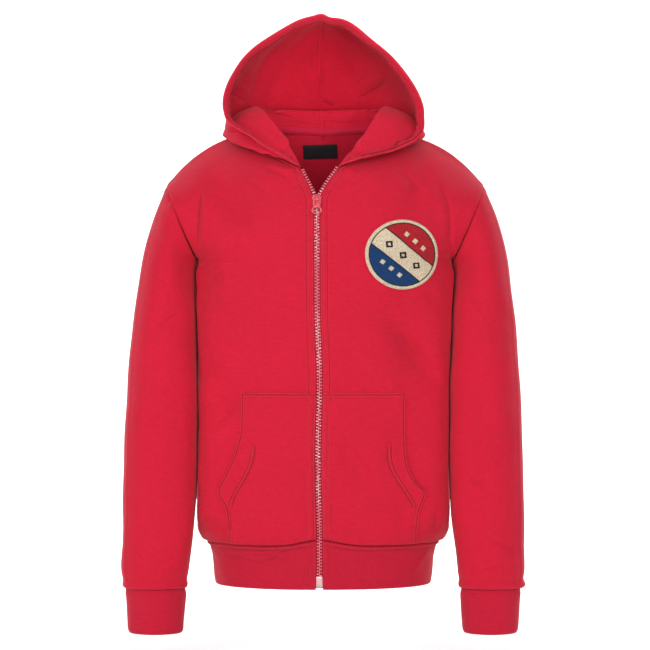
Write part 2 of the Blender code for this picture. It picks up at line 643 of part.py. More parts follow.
def make_cuffs():
    """The rib cuffs, drawn in at the sleeve's end."""
    height, inner, outer, deep, forward = np.array(CUFF).T
    height = height.copy()
    height[0] -= SEAM_GAP
    rings = sleeve_ring(inner, height, outer, height, deep, forward, half_turns())
    faces = grid_faces(*rings.shape[:2], closed=True)
    for name, side in SIDES:
        points = settle(mirrored(rings.reshape(-1, 3), side), "sleeve")
        make(f"cuff_{name}", *wall(points, turned(faces, side > 0), RIB_CLOTH), RIB_KNIT)


def make_hem():
    """The rib hem: one band from zip to zip, round the back."""
    s = body_columns()
    rows = []
    for height, wide, zip_deep, front, back in HEM:
        if height == HEM_SEAM:
            height -= SEAM_GAP
        nets = []
        for start, middle, deep in ((ZIP_HALF, -zip_deep, -front), (0.0, back, back)):
            nets.append([(start, middle, height), (BODY_LEAD * wide, deep, height),
                         (wide, BODY_LEAD * deep, height), (wide, 0.0, height)])
        front_half = arc(np.array(nets[0], float)[None], s)
        back_half = arc(np.array(nets[1], float)[None], s[::-1])[1:]
        half = np.concatenate([front_half, back_half])
        rows.append(np.concatenate([half, mirrored(half[-2::-1], -1.0)]))
    grid = np.array(rows)
    faces = grid_faces(*grid.shape[:2])
    points = settle(grid.reshape(-1, 3), "body")
    make("hem_rib", *wall(points, turned(faces, True), RIB_CLOTH), RIB_KNIT)


def hood_net(side_name):
    """Stations of the hood's lines for one side: lines bottom up, stations front to back."""
    stations = np.linspace(0, 1, 7)
    edge = FACE_EDGE[side_name]
    lines = [neck_seam()[::2]] + [np.array(line) for line in HOOD_LOW.values()]
    for start, name in zip(edge[2:], HOOD_WALL):
        x1, y1, z1, wide, y2, z2 = HOOD_WALL[name]
        net = np.array([start, (x1, y1, z1), (wide, y2, z2), (0.0, y2, z2)], float)
        lines.append(arc(net[None], stations))
    return np.array(lines)


def hood_grid(side_name):
    """The hood's surface for one side: rows from the neck seam to the top seam."""
    net = hood_net(side_name)
    span = np.linalg.norm(np.diff(net[:, 2:], axis=0), axis=2).mean(axis=1)
    knots = np.concatenate([[0.0], np.cumsum(span)])
    stations = np.linspace(0, 1, 7)
    columns = len(neck_seam())
    high = np.linspace(knots[HOOD_LOW_ROWS], knots[-1], HOOD_ROWS - HOOD_LOW_ROWS)
    at = np.concatenate([knots[:HOOD_LOW_ROWS], high])
    at[0] = SEAM_GAP
    across = flow(np.linspace(0, 1, columns), stations, net.transpose(1, 0, 2)).transpose(1, 0, 2)
    seam = neck_seam()
    across[0] = seam
    grid = glide(at, knots, across)
    edge = np.array(FACE_EDGE[side_name], float)
    front_knots = np.concatenate([knots[:5], [(2 * knots[4] + knots[5]) / 3, (knots[4] + 2 * knots[5]) / 3],
                                  knots[5:]])
    front_line = np.concatenate([[seam[0]], [line[0] for line in HOOD_LOW.values()], edge])
    grid[:, 0] = flow(at, front_knots, front_line)
    grid[..., 0] = np.maximum(grid[..., 0], SEAM_GAP / 2)
    return grid


def make_hood():
    """The two halves of the hood, open at the face and seamed over the head and down the back."""
    for name, side in SIDES:
        grid = hood_grid(name)
        faces = grid_faces(*grid.shape[:2])
        points = settle(mirrored(grid.reshape(-1, 3), side), "hood")
        middle = np.zeros(grid.shape[:2], bool)
        middle[-1] = True
        middle[:, -1] = True
        points, quads = wall(points, turned(faces, side < 0), CLOTH, [(middle.ravel(), 0)])
        make(f"hood_{name}", points, quads, FLEECE)


def make_pockets():
    """The pockets: each lies on its front, along the front's own rows and columns.

    Past the pocket's edge a column is drawn in to it, a little before the one beyond.
    """
    edge = np.array(POCKET_EDGE)
    grid = body_grid("front")
    rows = [k for k, z in enumerate(BODY_HEIGHTS) if edge[0, 0] <= z <= POCKET_TOP]
    reach = np.interp([BODY_HEIGHTS[k] for k in rows], edge[:, 0], edge[:, 1])
    across = grid[..., 0]
    columns = int(np.sum(across[rows[-1]] < reach.max()))
    back_off = POCKET_STEP * (columns - np.arange(columns + 1))
    for name, side in SIDES:
        points = settle(mirrored(grid.reshape(-1, 3), side), "body")
        faces = turned(grid_faces(*grid.shape[:2]), side < 0)
        normals = point_normals(points, faces).reshape(grid.shape)
        points = points.reshape(grid.shape)
        under = np.zeros((len(rows), columns + 1, 3))
        way = np.zeros_like(under)
        for i, k in enumerate(rows):
            wanted = np.minimum(np.append(across[k, :columns], reach[i]), reach[i] - back_off)
            wanted[0] = ZIP_HALF + LAY_GAP
            for axis in range(3):
                under[i, :, axis] = np.interp(wanted, across[k], points[k, :, axis])
                way[i, :, axis] = np.interp(wanted, across[k], normals[k, :, axis])
        lay(f"pocket_{name}", under.reshape(-1, 3), way.reshape(-1, 3),
            turned(grid_faces(len(rows), columns + 1), side < 0), [f"front_{name}"], CLOTH, FLEECE)


def lay(name, under, way, faces, panels, thick, finish):
    """Make a piece that lies on panels: its near side clears them, its far side is thick away."""
    way = way / np.linalg.norm(way, axis=1, keepdims=True)
    near = clear_of(under, faces, way, panels)
    make(name, *closed(near + way * thick, near, faces), finish)


def clear_of(under, faces, way, panels, gap=LAY_GAP):
    """Move the points of a surface along way until it clears the named panels everywhere.

    Each triangle is tried at its corners and at even steps between them.
    """
    trees = [BVHTree.FromPolygons(*shell(panel)) for panel in panels]
    under = under.copy()
    steps = range(SAMPLES + 1)
    shares = np.array([(a, b, SAMPLES - a - b) for a in steps for b in steps if a + b <= SAMPLES])
    shares = shares / SAMPLES
    for _ in range(LAY_ROUNDS):
        lift = np.zeros(len(under))
        for corners in split(faces):
            for part in shares:
                at = part @ under[corners]
                to = part @ way[corners]
                to /= np.linalg.norm(to)
                for tree in trees:
                    hit = tree.ray_cast(Vector(at + to * PROBE), Vector(-to), 2 * PROBE)
                    if hit[3] is not None and hit[3] > 0 and PROBE - hit[3] > -gap:
                        need = gap + PROBE - hit[3]
                        touched = corners[part > 0]
                        lift[touched] = np.maximum(lift[touched], need)
        under += way * lift[:, None]
    return under


def shell(name):
    """The points, in millimetres, and the faces of a piece already made."""
    mesh = bpy.data.objects[name].data
    points = np.empty(len(mesh.vertices) * 3)
    mesh.vertices.foreach_get("co", points)
    return (points.reshape(-1, 3) / MM).tolist(), [tuple(f.vertices) for f in mesh.polygons]


def on_panel(face, x, z):
    """The panel's outer point and normal at given x and z, by Newton's method."""
    side = np.where(x < 0, -1.0, 1.0)
    rows = np.linspace(body_row(HEM_SEAM), NECK_ROW, SEARCH_ROWS)
    row = np.interp(z, body_point(face, rows, np.zeros(SEARCH_ROWS))[:, 2], rows)
    part = np.abs(x) / SEARCH_WIDE
    for _ in range(SEARCH_STEPS):
        here = body_point(face, row, part)
        by_row = (body_point(face, row + DIFFERENCE, part) - here) / DIFFERENCE
        by_part = (body_point(face, row, part + DIFFERENCE) - here) / DIFFERENCE
        miss_x, miss_z = np.abs(x) - here[..., 0], z - here[..., 2]
        det = by_row[..., 0] * by_part[..., 2] - by_row[..., 2] * by_part[..., 0]
        row = row + (miss_x * by_part[..., 2] - miss_z * by_part[..., 0]) / det
        part = part + (by_row[..., 0] * miss_z - by_row[..., 2] * miss_x) / det
    normal = np.cross(by_part, by_row) * (1.0 if face == "front" else -1.0)
    normal /= np.linalg.norm(normal, axis=-1, keepdims=True)
    flip = np.stack([side, np.ones_like(side), np.ones_like(side)], axis=-1)
    return here * flip, normal * flip


def make_patch():
    """The round felt patch on the wearer's left chest: a square grid bent into a disc."""
    u, v = np.meshgrid(np.linspace(-1, 1, 9), np.linspace(-1, 1, 9))
    x = PATCH_X + PATCH_RADIUS * u * np.sqrt(1 - v * v / 2)
    z = PATCH_Z + PATCH_RADIUS * v * np.sqrt(1 - u * u / 2)
    here, normal = on_panel("front", x.ravel(), z.ravel())
    lay("chest_patch", settle(here, "body"), normal, grid_faces(9, 9), ["front_left"],
        CLOTH, CREAM_FELT)


def make_label():
    """The woven label on the inside of the back, below the neck tape."""
    across, down = np.meshgrid(np.linspace(-0.5, 0.5, 7), np.linspace(-1, 0, 3))
    x = (LABEL_X + across * LABEL_WIDE).ravel()
    z = (LABEL_TOP + down * LABEL_HIGH).ravel() + LABEL_TILT * (x - LABEL_X)
    here, normal = on_panel("back", x, z)
    lay("neck_label", settle(here - normal * CLOTH, "body"), -normal, grid_faces(3, 7),
        ["back", "neck_tape"], LABEL_CLOTH, BLACK_WEAVE)


def make_neck_tape():
    """The tape that covers the back neck seam inside, from shoulder to shoulder.

    Its lower edge lies on the back and its upper edge on the hood's stand.
    """
    body = body_grid("back")
    first = len(BODY_HEIGHTS) + NECK_ROW
    panel = point_normals(body.reshape(-1, 3), grid_faces(*body.shape[:2])[:, ::-1])
    panel = panel.reshape(body.shape)[first:-2, 0]
    hood = hood_grid("left")
    stand = point_normals(hood.reshape(-1, 3), grid_faces(*hood.shape[:2]))
    stand = stand.reshape(hood.shape)[0, ::-1][:len(panel)]
    seam = neck_seam()[::-1][:len(panel)]
    panel[0, 0] = stand[0, 0] = 0.0
    along = np.gradient(seam, axis=0)
    along[0, 1:] = 0.0
    lines, ways = [], []
    for part, tilt in ((-1.0, panel), (0.0, panel + stand), (1.0, stand)):
        normal = tilt / np.linalg.norm(tilt, axis=1, keepdims=True)
        square = np.cross(along, normal)
        square /= np.linalg.norm(square, axis=1, keepdims=True)
        square *= part * np.sign(square[:1, 2])
        lines.append(seam + square * NECK_TAPE_HALF - normal * CLOTH)
        ways.append(-normal)
    under, way = (np.concatenate([p[:, :0:-1], mirrored(p, -1.0)], axis=1)
                  for p in (np.array(lines), np.array(ways)))
    lay("neck_tape", settle(under.reshape(-1, 3), "hood"), way.reshape(-1, 3),
        grid_faces(*under.shape[:2]), ["back", "hood_left", "hood_right"], TAPE_CLOTH, WOVEN)


# ================================================================ the zip
def zip_edge():
    """The folded edge of the left front beside the zip, from the hem up.

    Gives its points, the cloth's normals there, and 1 where the chain runs, else 0.
    """
    heights, _, deep = np.array(HEM)[::-1, :3].T
    low = np.array([heights[0] + ZIP_TAPE_UP, BOX_TOP - 0.2, BOX_TOP + 0.3, heights[-3], heights[-2]])
    hem = np.stack([np.full(len(low), ZIP_HALF), -np.interp(low, heights, deep), low], axis=1)
    rows = np.concatenate([body_row(BODY_HEIGHTS), np.arange(NECK_ROW), [NECK_ROW - 0.06, NECK_ROW]])
    points = np.concatenate([hem, body_point("front", rows, np.zeros(len(rows)))])
    along = np.gradient(points, axis=0)
    normal = np.stack([0 * along[:, 0], -along[:, 2], along[:, 1]], axis=1)
    chain = (points[:, 2] > BOX_TOP) * 1.0
    chain[-1] = 0.0
    return points, normal / np.linalg.norm(normal, axis=1, keepdims=True), chain


def make_zip_tapes():
    """The zip's two tapes, behind the fronts; half of the chain stands proud on each edge."""
    edge, normal, chain = zip_edge()
    outer_edge = CHAIN_FROM + CHAIN_WIDE
    across = np.array([CHAIN_FROM, CHAIN_FROM + CHAIN_EDGE, outer_edge - CHAIN_EDGE, outer_edge,
                       outer_edge + 0.1, ZIP_HALF + 1.5, ZIP_HALF + ZIP_TAPE_OUT]) - ZIP_HALF
    proud = ZIP_DEEP * np.array([0.8, 1.0, 1.0, 0.8, 0.0, 0.0, 0.0])
    for name, side in SIDES:
        base = np.repeat(edge[:, None], len(across), axis=1) - normal[:, None] * ZIP_DEEP
        base[..., 0] += across
        way = -np.repeat(normal[:, None], len(across), axis=1)
        faces = turned(grid_faces(*base.shape[:2]), side > 0)
        under = settle(mirrored(base.reshape(-1, 3), side), "body")
        way = mirrored(way.reshape(-1, 3), side)
        near = clear_of(under, faces, way, [f"front_{name}", "hem_rib"])
        far = near + way * TAPE_CLOTH
        near = near - way * (chain[:, None] * proud).reshape(-1, 1)
        make(f"zip_tape_{name}", *closed(far, near, faces), WOVEN)


def zip_frame():
    """The slider's frame: its origin, across, outwards and up.

    Outwards starts from the furthest that the fronts' edges bulge beside the slider.
    """
    middle = settle(zip_edge()[0] * [0.0, 1.0, 1.0], "body")
    steps = SLIDER_TOP - SLIDER_LONG * np.linspace(0, 1, 9)
    line = np.stack([np.interp(steps, middle[:, 2], middle[:, k]) for k in range(3)], axis=1)
    up = line[0] - line[-1]
    up /= np.linalg.norm(up)
    across = np.cross(up, [0.0, -1.0, 0.0])
    across /= np.linalg.norm(across)
    out = np.cross(across, up)
    bulge = ((line - line[0]) @ out).max()
    return line[0] + out * bulge, across, out, up, bulge


def placed(points, frame):
    """Points given as across, outwards, up in the slider's frame, set in place."""
    at, across, out, up, _ = frame
    points = np.asarray(points, float)
    return at + points[..., :1] * across + points[..., 1:2] * out + points[..., 2:] * up


class Shell:
    """Points and faces of one solid, put together from grids, tubes and strips."""

    def __init__(self):
        self.points = []
        self.faces = []

    def grid(self, points, skip=()):
        """Add a grid of points and its quads, but for the cells in skip; gives its numbers."""
        rows, columns = len(points), len(points[0])
        first = len(self.points)
        self.points += [tuple(p) for row in points for p in row]
        number = np.arange(rows * columns).reshape(rows, columns) + first
        for r in range(rows - 1):
            for c in range(columns - 1):
                if (r, c) not in skip:
                    self.faces.append((number[r, c], number[r, c + 1],
                                       number[r + 1, c + 1], number[r + 1, c]))
        return number

    def strip(self, one, two):
        """Join two closed rings of equally many points with quads."""
        for k in range(len(one)):
            n = (k + 1) % len(one)
            self.faces.append((one[k], one[n], two[n], two[k]))

    def ring(self, points):
        """Add one ring of points; gives its numbers."""
        first = len(self.points)
        self.points += [tuple(p) for p in points]
        return list(range(first, len(self.points)))


def rim_of(number):
    """The numbers round the border of a grid."""
    return (list(number[0]) + list(number[1:, -1]) + list(number[-1, -2::-1])
            + list(number[-2:0:-1, 0]))


def cell_of(number, r, c):
    """The numbers round one cell of a grid, or round a run of rows of cells."""
    rows = range(r[0], r[1] + 1) if isinstance(r, tuple) else range(r, r + 2)
    rows = list(rows)
    return [number[k, c] for k in rows] + [number[k, c + 1] for k in rows[::-1]]


def plate_grid(border, proud):
    """One face of a plate of the slider: its border lies at the one height, the rest at the other."""
    grid = []
    for k, (up, half) in enumerate(SLIDER_PLATE):
        core = BRIDGE_HALF if k in (0, len(SLIDER_PLATE) - 1) else BRIDGE_HALF + 0.3
        inner = border if k in (0, len(SLIDER_PLATE) - 1) else proud
        grid.append([(-half, border, up), (-core, inner, up), (core, inner, up), (half, border, up)])
    return np.array(grid)


def make_slider():
    """The zip's slider: front plate with the bridge, back plate, and the post between them."""
    solid = Shell()
    frame = zip_frame()
    front = SLIDER_CLEAR
    back = -(ZIP_DEEP + TAPE_CLOTH + 2 * SLIDER_CLEAR + frame[-1])
    face = solid.grid(plate_grid(front + 0.6 * PLATE_THICK, front + PLATE_THICK),
                      skip={BRIDGE_TOP_CELL, BRIDGE_FOOT_CELL})
    behind = solid.grid(plate_grid(front, front), skip={POST_CELL})
    inner = solid.grid(plate_grid(back, back), skip={POST_CELL})
    outer = solid.grid(plate_grid(back - 0.6 * PLATE_THICK, back - PLATE_THICK))
    solid.strip(rim_of(face), rim_of(behind))
    solid.strip(rim_of(inner), rim_of(outer))
    solid.strip(cell_of(behind, *POST_CELL), cell_of(inner, *POST_CELL))
    # The bridge: a tube from one cell of the face to another, over the pull tab's bar.
    last = cell_of(face, *BRIDGE_TOP_CELL)
    for under_up, under_out, back_up, back_out in BRIDGE:
        ring = solid.ring([(-BRIDGE_HALF, back_out, back_up), (-BRIDGE_HALF, under_out, under_up),
                           (BRIDGE_HALF, under_out, under_up), (BRIDGE_HALF, back_out, back_up)])
        solid.strip(last, ring)
        last = ring
    foot = cell_of(face, *BRIDGE_FOOT_CELL)
    solid.strip(last, [foot[1], foot[0], foot[3], foot[2]])
    make("zip_slider", placed(solid.points, frame), solid.faces, RED_PAINT)


def make_tab():
    """The pull tab: a flat plate with a slot round the bridge and an oval hole at its end."""
    solid = Shell()
    skip = {(r, 1) for first, last in TAB_HOLES for r in range(first, last)}
    sides = []
    for out in (TAB_OUT + TAB_THICK / 2, TAB_OUT - TAB_THICK / 2):
        sides.append(solid.grid([[(-half, out, up), (-core, out, up), (core, out, up),
                                  (half, out, up)] for up, half, core in TAB], skip=skip))
    solid.strip(rim_of(sides[0]), rim_of(sides[1]))
    for hole in TAB_HOLES:
        solid.strip(cell_of(sides[0], hole, 1), cell_of(sides[1], hole, 1))
    frame = zip_frame()
    bar = placed([0.0, TAB_OUT, (TAB[0][0] + TAB[1][0]) / 2], frame)
    make("zip_pull_tab", placed(solid.points, frame), solid.faces, RED_PAINT, pivot=bar)


def make_zip_box():
    """The small box that holds the zip's two halves together at the hem."""
    edge = zip_edge()[0]
    solid = Shell()
    top, low = BOX_TOP - LAY_GAP, BOX_TOP - BOX_HIGH
    depth = np.interp([low, top], edge[:, 2], edge[:, 1])
    rings = []
    for inset, out in ((0.6, BOX_PROUD), (0.0, BOX_PROUD - 0.6), (0.0, LAY_GAP - ZIP_DEEP + 0.02)):
        half = BOX_HALF - inset
        rings.append(solid.ring([(-half, depth[0] - out, low + inset), (half, depth[0] - out, low + inset),
                                 (half, depth[1] - out, top - inset),
                                 (-half, depth[1] - out, top - inset)]))
    solid.strip(rings[0], rings[1])
    solid.strip(rings[1], rings[2])
    solid.faces += [tuple(rings[0]), tuple(rings[2])]
    make("zip_box", settle(np.array(solid.points), "body"), solid.faces, PALE_METAL)


def clear_scene():
    """Take away everything that the scene starts with."""
    for old in list(bpy.data.objects):
        bpy.data.objects.remove(old, do_unlink=True)


def main():
    """Make every piece of the garment."""
    clear_scene()
    make_fronts()
    make_back()
    make_sleeves()
    make_cuffs()
    make_hem()
    make_hood()
    make_pockets()
    make_patch()
    make_neck_tape()
    make_label()
    make_zip_tapes()
    make_slider()
    make_tab()
    make_zip_box()


main()
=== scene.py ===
"""Looks of a child's zip-front hooded sweatshirt, filled out as if worn.

Every cloth piece is a closed thin wall. Its outer surface is worked out on a grid from
the same sections as the part's solids, then settled, creased and given the relief of its
seams. Lengths in the tables and formulas are in millimetres; MM turns them into metres.
Frame: +X is the wearer's left, -Y is the front, +Z is up.
"""

import logging
from dataclasses import dataclass, field
from enum import Enum
from typing import Any, Callable, Optional, Sequence

import bpy
import numpy as np
from mathutils import Matrix, Vector


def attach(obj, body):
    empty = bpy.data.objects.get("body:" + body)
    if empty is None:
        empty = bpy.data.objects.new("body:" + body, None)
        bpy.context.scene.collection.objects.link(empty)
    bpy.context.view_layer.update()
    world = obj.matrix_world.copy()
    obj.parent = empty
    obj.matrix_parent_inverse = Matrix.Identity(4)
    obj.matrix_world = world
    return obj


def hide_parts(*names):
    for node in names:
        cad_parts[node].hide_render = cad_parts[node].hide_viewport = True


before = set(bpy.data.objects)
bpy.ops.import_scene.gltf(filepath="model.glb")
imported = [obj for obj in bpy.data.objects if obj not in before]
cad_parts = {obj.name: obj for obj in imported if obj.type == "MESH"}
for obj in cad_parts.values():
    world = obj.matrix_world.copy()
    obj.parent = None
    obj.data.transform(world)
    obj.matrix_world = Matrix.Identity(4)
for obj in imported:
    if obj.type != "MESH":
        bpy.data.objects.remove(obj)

logging.basicConfig(level=logging.INFO, format="%(message)s")
LOG = logging.getLogger("sweatshirt")
Array = np.ndarray
MM = 0.001
GARMENT, PULL_TAB = "garment", "pull_tab"

# ---- sections of the body
# height, half width at the side seam, depth at the zip, of the front, of the back
BODY = (
    (-506.5, 151.5, 95, 93.5, 92.5), (-503, 155.5, 96.5, 97, 96),
    (-495, 161.5, 99, 103, 101), (-480, 163.5, 102.5, 106, 103.5),
    (-440, 164, 105.5, 107, 104), (-330, 164, 106, 106, 104),
    (-240, 163.8, 108, 108, 106), (-185, 163.6, 108.5, 108.5, 107),
)
# row of the yoke, where it starts x, y, z, and the lead it starts with x, y, z
FRONT_YOKE = (
    (0, 4.5, -108, -152, 99, -108, -151), (2, 4.5, -105.5, -108, 92, -107, -110),
    (4, 4.5, -98, -70, 80, -102, -76), (5, 25.5, -80, -28, 78, -90, -44),
    (7, 56, -58, -13, 92, -73, -25), (9, 80, -27, 10, 115, -37, 1),
    (11, 88, 3, 27, 132, 3, 16.5),
)
BACK_YOKE = (
    (0, 0, 106, -152, 99, 106, -151), (2, 0, 102, -100, 90, 103, -104),
    (4, 0, 81, -18, 72, 88, -36), (5, 0, 60, 28, 54, 69, 8),
    (7, 46, 53, 30, 86, 62, 12), (9, 79, 30, 30, 115, 34, 15),
    (11, 88, 3, 27, 132, 3, 16.5),
)
# row of the yoke, its direction at the armhole x, towards the seam, z, and the lead's length
ARMHOLE_FLOW = (
    (0, 0.00, 1.00, 0.00, 62), (2, 0.42, 0.90, -0.08, 54), (4, 0.75, 0.60, -0.22, 54),
    (5, 0.84, 0.42, -0.30, 53), (7, 0.90, 0.15, -0.42, 50), (9, 0.83, 0.00, -0.56, 48),
    (11, 0.56, 0.00, -0.83, 60),
)
# inner point x, z; outer point x, z; half depth; forward shift of the arm
SLEEVE = (
    (165.8, -143, 206, -47.5, 59, -3), (166, -164, 223, -90, 61, 5),
    (165, -190, 234.5, -135, 61, 14), (163.4, -228, 242, -190, 59.5, 23),
    (161.8, -272, 248.5, -250, 56, 31), (160.8, -335, 253.3, -325, 51.5, 37),
    (161, -400, 255.5, -395, 46.5, 41), (162.6, -455, 257, -455, 42, 43),
    (168.5, -508, 257.2, -508, 38, 44), (172, -543, 257.8, -543, 36, 45),
    (174.8, -564, 255, -564, 31.5, 45),
)
# height, inner x, outer x, half depth, forward shift
CUFF = (
    (-564, 174.6, 254.8, 31.5, 45), (-576, 175.5, 252.3, 30, 45.5),
    (-600, 177.3, 250.7, 28.5, 46), (-616, 178.6, 249.5, 28, 46),
    (-621.5, 181, 247.2, 27, 46),
)
# height, half width, depth at the zip, of the front, of the back
HEM = (
    (-506.5, 151.5, 95, 93.5, 92.5), (-512, 148, 94.5, 92, 90.5),
    (-526, 143.5, 93, 90.5, 89), (-552, 141.5, 91.5, 89.5, 88),
    (-562.5, 139.5, 90, 88, 86.5),
)
# Lines of the hood from the face edge to the middle of the back, seven stations each.
HOOD_LOW = {
    "stand": ((26, -80.5, -27), (52, -62, 0), (78, -31, 27), (89, 4, 41),
              (80, 37, 44), (45, 57, 43), (0, 62.5, 42)),
    "roll": ((26.5, -81.5, -26), (49, -65, 10), (72, -33, 44), (84, 3, 56),
             (77, 38, 57), (43, 60, 56), (0, 66, 55)),
    "inner slope": ((29, -84, -25), (63, -63, 5), (96, -34, 33),
                    (111, 4, 45), (98, 47, 41), (57, 77, 36), (0, 84, 34)),
    "trough": ((34, -86, -23), (74, -72, -8), (114, -50, 7),
               (129, -8, 19), (118, 50, 15), (68, 90, 8), (0, 103, 6)),
}
# side lead x, y, z, then width of the back's lead, and the middle of the back y, z
HOOD_WALL = {
    "bulge": (160, -6, 30, 92, 121, 30),
    "lower wall": (133, 4, 54, 92, 125, 60),
    "middle wall": (124, 8, 84, 90, 126, 95),
    "upper wall": (106, 10, 117, 78, 117, 127),
    "crown side": (72, 8, 148, 56, 96, 154),
    "crown": (36, 4, 168, 30, 70, 171),
    "top seam": (0, 0, 177, 0, 40, 178),
}
# The face edge above the zip, bottom up; the two sides differ only low down.
FACE_EDGE_TOP = ((121.5, -44, 77), (101, -39, 110), (67, -32, 142.5),
                 (32, -25, 165), (0, -20, 174.5))
FACE_EDGE = {
    "left": ((50, -86, -16), (92, -72, -4), (121, -58, 13),
             (130, -50, 42)) + FACE_EDGE_TOP,
    "right": ((50, -86, -13), (84, -72, 5), (113, -58, 25),
              (127.5, -50, 47)) + FACE_EDGE_TOP,
}
# height, sideways lean of the whole garment
LEAN = ((-630, 0), (-500, 0.3), (-300, 1), (-80, 3), (0, 2.5), (30, -0.5), (70, -3.5),
        (115, -5), (155, -4), (180, -1))
# height, sway of the zip
ZIP_SWAY = ((-560, -4.7), (-500, -4.7), (-400, -6.9), (-300, -5.4), (-200, -9.3), (-70, -10.8),
            (-24, -8), (20, 0))
# by group and face: from x, z to x, z of a fold, half width, depth (a trough is negative)
FOLDS = {
    ("body", "front"): (
        (78, -208, 150, -312, 15, -8.5), (52, -250, 118, -345, 17, 4.5),
        (16, -366, 64, -436, 13, -5.5), (-152, -270, -108, -360, 15, -6),
        (-146, -30, -72, -118, 17, -8.5), (134, -26, 104, -84, 14, -6),
        (-138, -120, -120, -206, 14, 3),
    ),
    ("body", "back"): (
        (-96, -60, -150, -190, 18, -4), (100, -70, 146, -200, 18, -4),
        (-60, -330, 90, -390, 22, -4), (-120, -420, 40, -462, 18, 4),
    ),
    ("sleeve", "front"): (
        (196, -190, 248, -240, 14, -4), (182, -300, 240, -345, 14, 3.5),
        (190, -400, 250, -372, 12, -3), (190, -500, 250, -525, 11, 3),
    ),
    ("sleeve", "back"): (
        (190, -260, 250, -310, 14, -4), (190, -330, 250, -300, 12, 4),
        (185, -470, 245, -430, 12, -3.5), (188, -520, 250, -545, 10, 3),
    ),
}
# height, how far the body draws in behind the sleeve's inner edge, and reaches out before it
ARM_ROOM = (
    (-507, 0, 0), (-480, 0.9, 1), (-440, 2.9, 0.6), (-335, 3.4, 0.9), (-272, 2.8, 1.5),
    (-228, 1.6, 3), (-190, 0.4, 4.4), (-168, -1.3, 4.2), (-159, -1.8, 3.2), (-150, -0.3, 0.8),
    (-143, 0, 0),
)
# distance of a pocket's outer edge from the middle, by height
POCKET_EDGE = {
    "right": ((-503, 118), (-484, 119.5), (-465, 122), (-457, 124), (-440, 133),
              (-415, 122), (-389, 110.5), (-363, 104.5), (-338, 103), (-313, 103)),
    "left": ((-503, 118), (-484, 119.5), (-465, 122), (-457, 124), (-440, 129),
             (-427, 117), (-409, 107.5), (-386, 104), (-338, 103), (-313, 103)),
}

# distance of the pocket's sewn facing from the middle, by height
FACING_EDGE = {
    "right": ((-503, 110.5), (-457, 116.5), (-444, 112.5), (-424, 100), (-402, 89.5),
              (-388, 86.5), (-372, 86), (-313, 86)),
    "left": ((-503, 110.5), (-457, 115), (-444, 108.5), (-424, 95.5), (-402, 85.5),
             (-388, 84), (-372, 84), (-313, 84)),
}
# distances from an edge at which a grid gets a line: by a seam, the zip, the hood's face edge
# and the pocket's top, and where rows of stitches run
SEAM_SIDE = (0, 0.4, 0.9, 1.6, 2.5, 3.6, 5, 7)
ZIP_SIDE = (0, 0.3, 0.8, 1.3, 1.8, 2.4, 3, 3.8, 5.2, 6.6, 7.4, 8, 8.6, 9.2, 9.9, 11.2, 13)
ZIP_STITCHES = (2.4, 8.6)
FACE_SIDE = (0, 0.3, 0.8, 1.6, 3, 5, 7.4, 9.2, 10.2, 10.8, 11.4, 12.1, 12.7, 13.3, 14.2, 16)
FACE_STITCH = 10.8
POCKET_TOP_SIDE = (0, 0.4, 0.9, 1.5, 2.1, 2.7, 3.4, 4.6, 6)
TOP_STITCHES = (2.1,)
# height and half width of the slider's plates; height, half width and half opening of the
# pull tab, and the rows that are open
SLIDER_PLATE = ((0, 3.4), (-1.2, 5.4), (-3.6, 6), (-6.4, 5.7), (-8.4, 5.2), (-10.8, 4.8),
                (-13.6, 4.6), (-15, 4))
PULL_TAB_SHAPE = ((-5, 3.6, 1.7), (-6.9, 4.9, 2), (-9.5, 5.2, 2.2), (-12.6, 5.2, 2),
                  (-14.2, 5, 1.7), (-16.2, 4.8, 1.6), (-17.8, 5, 1.8), (-19.4, 6.5, 3.7),
                  (-21.6, 7, 4.2), (-23.6, 6.4, 3.5), (-25.2, 5.1, 2), (-26.9, 3, 1.3))
PULL_TAB_OPEN = (1, 2, 6, 7, 8, 9)
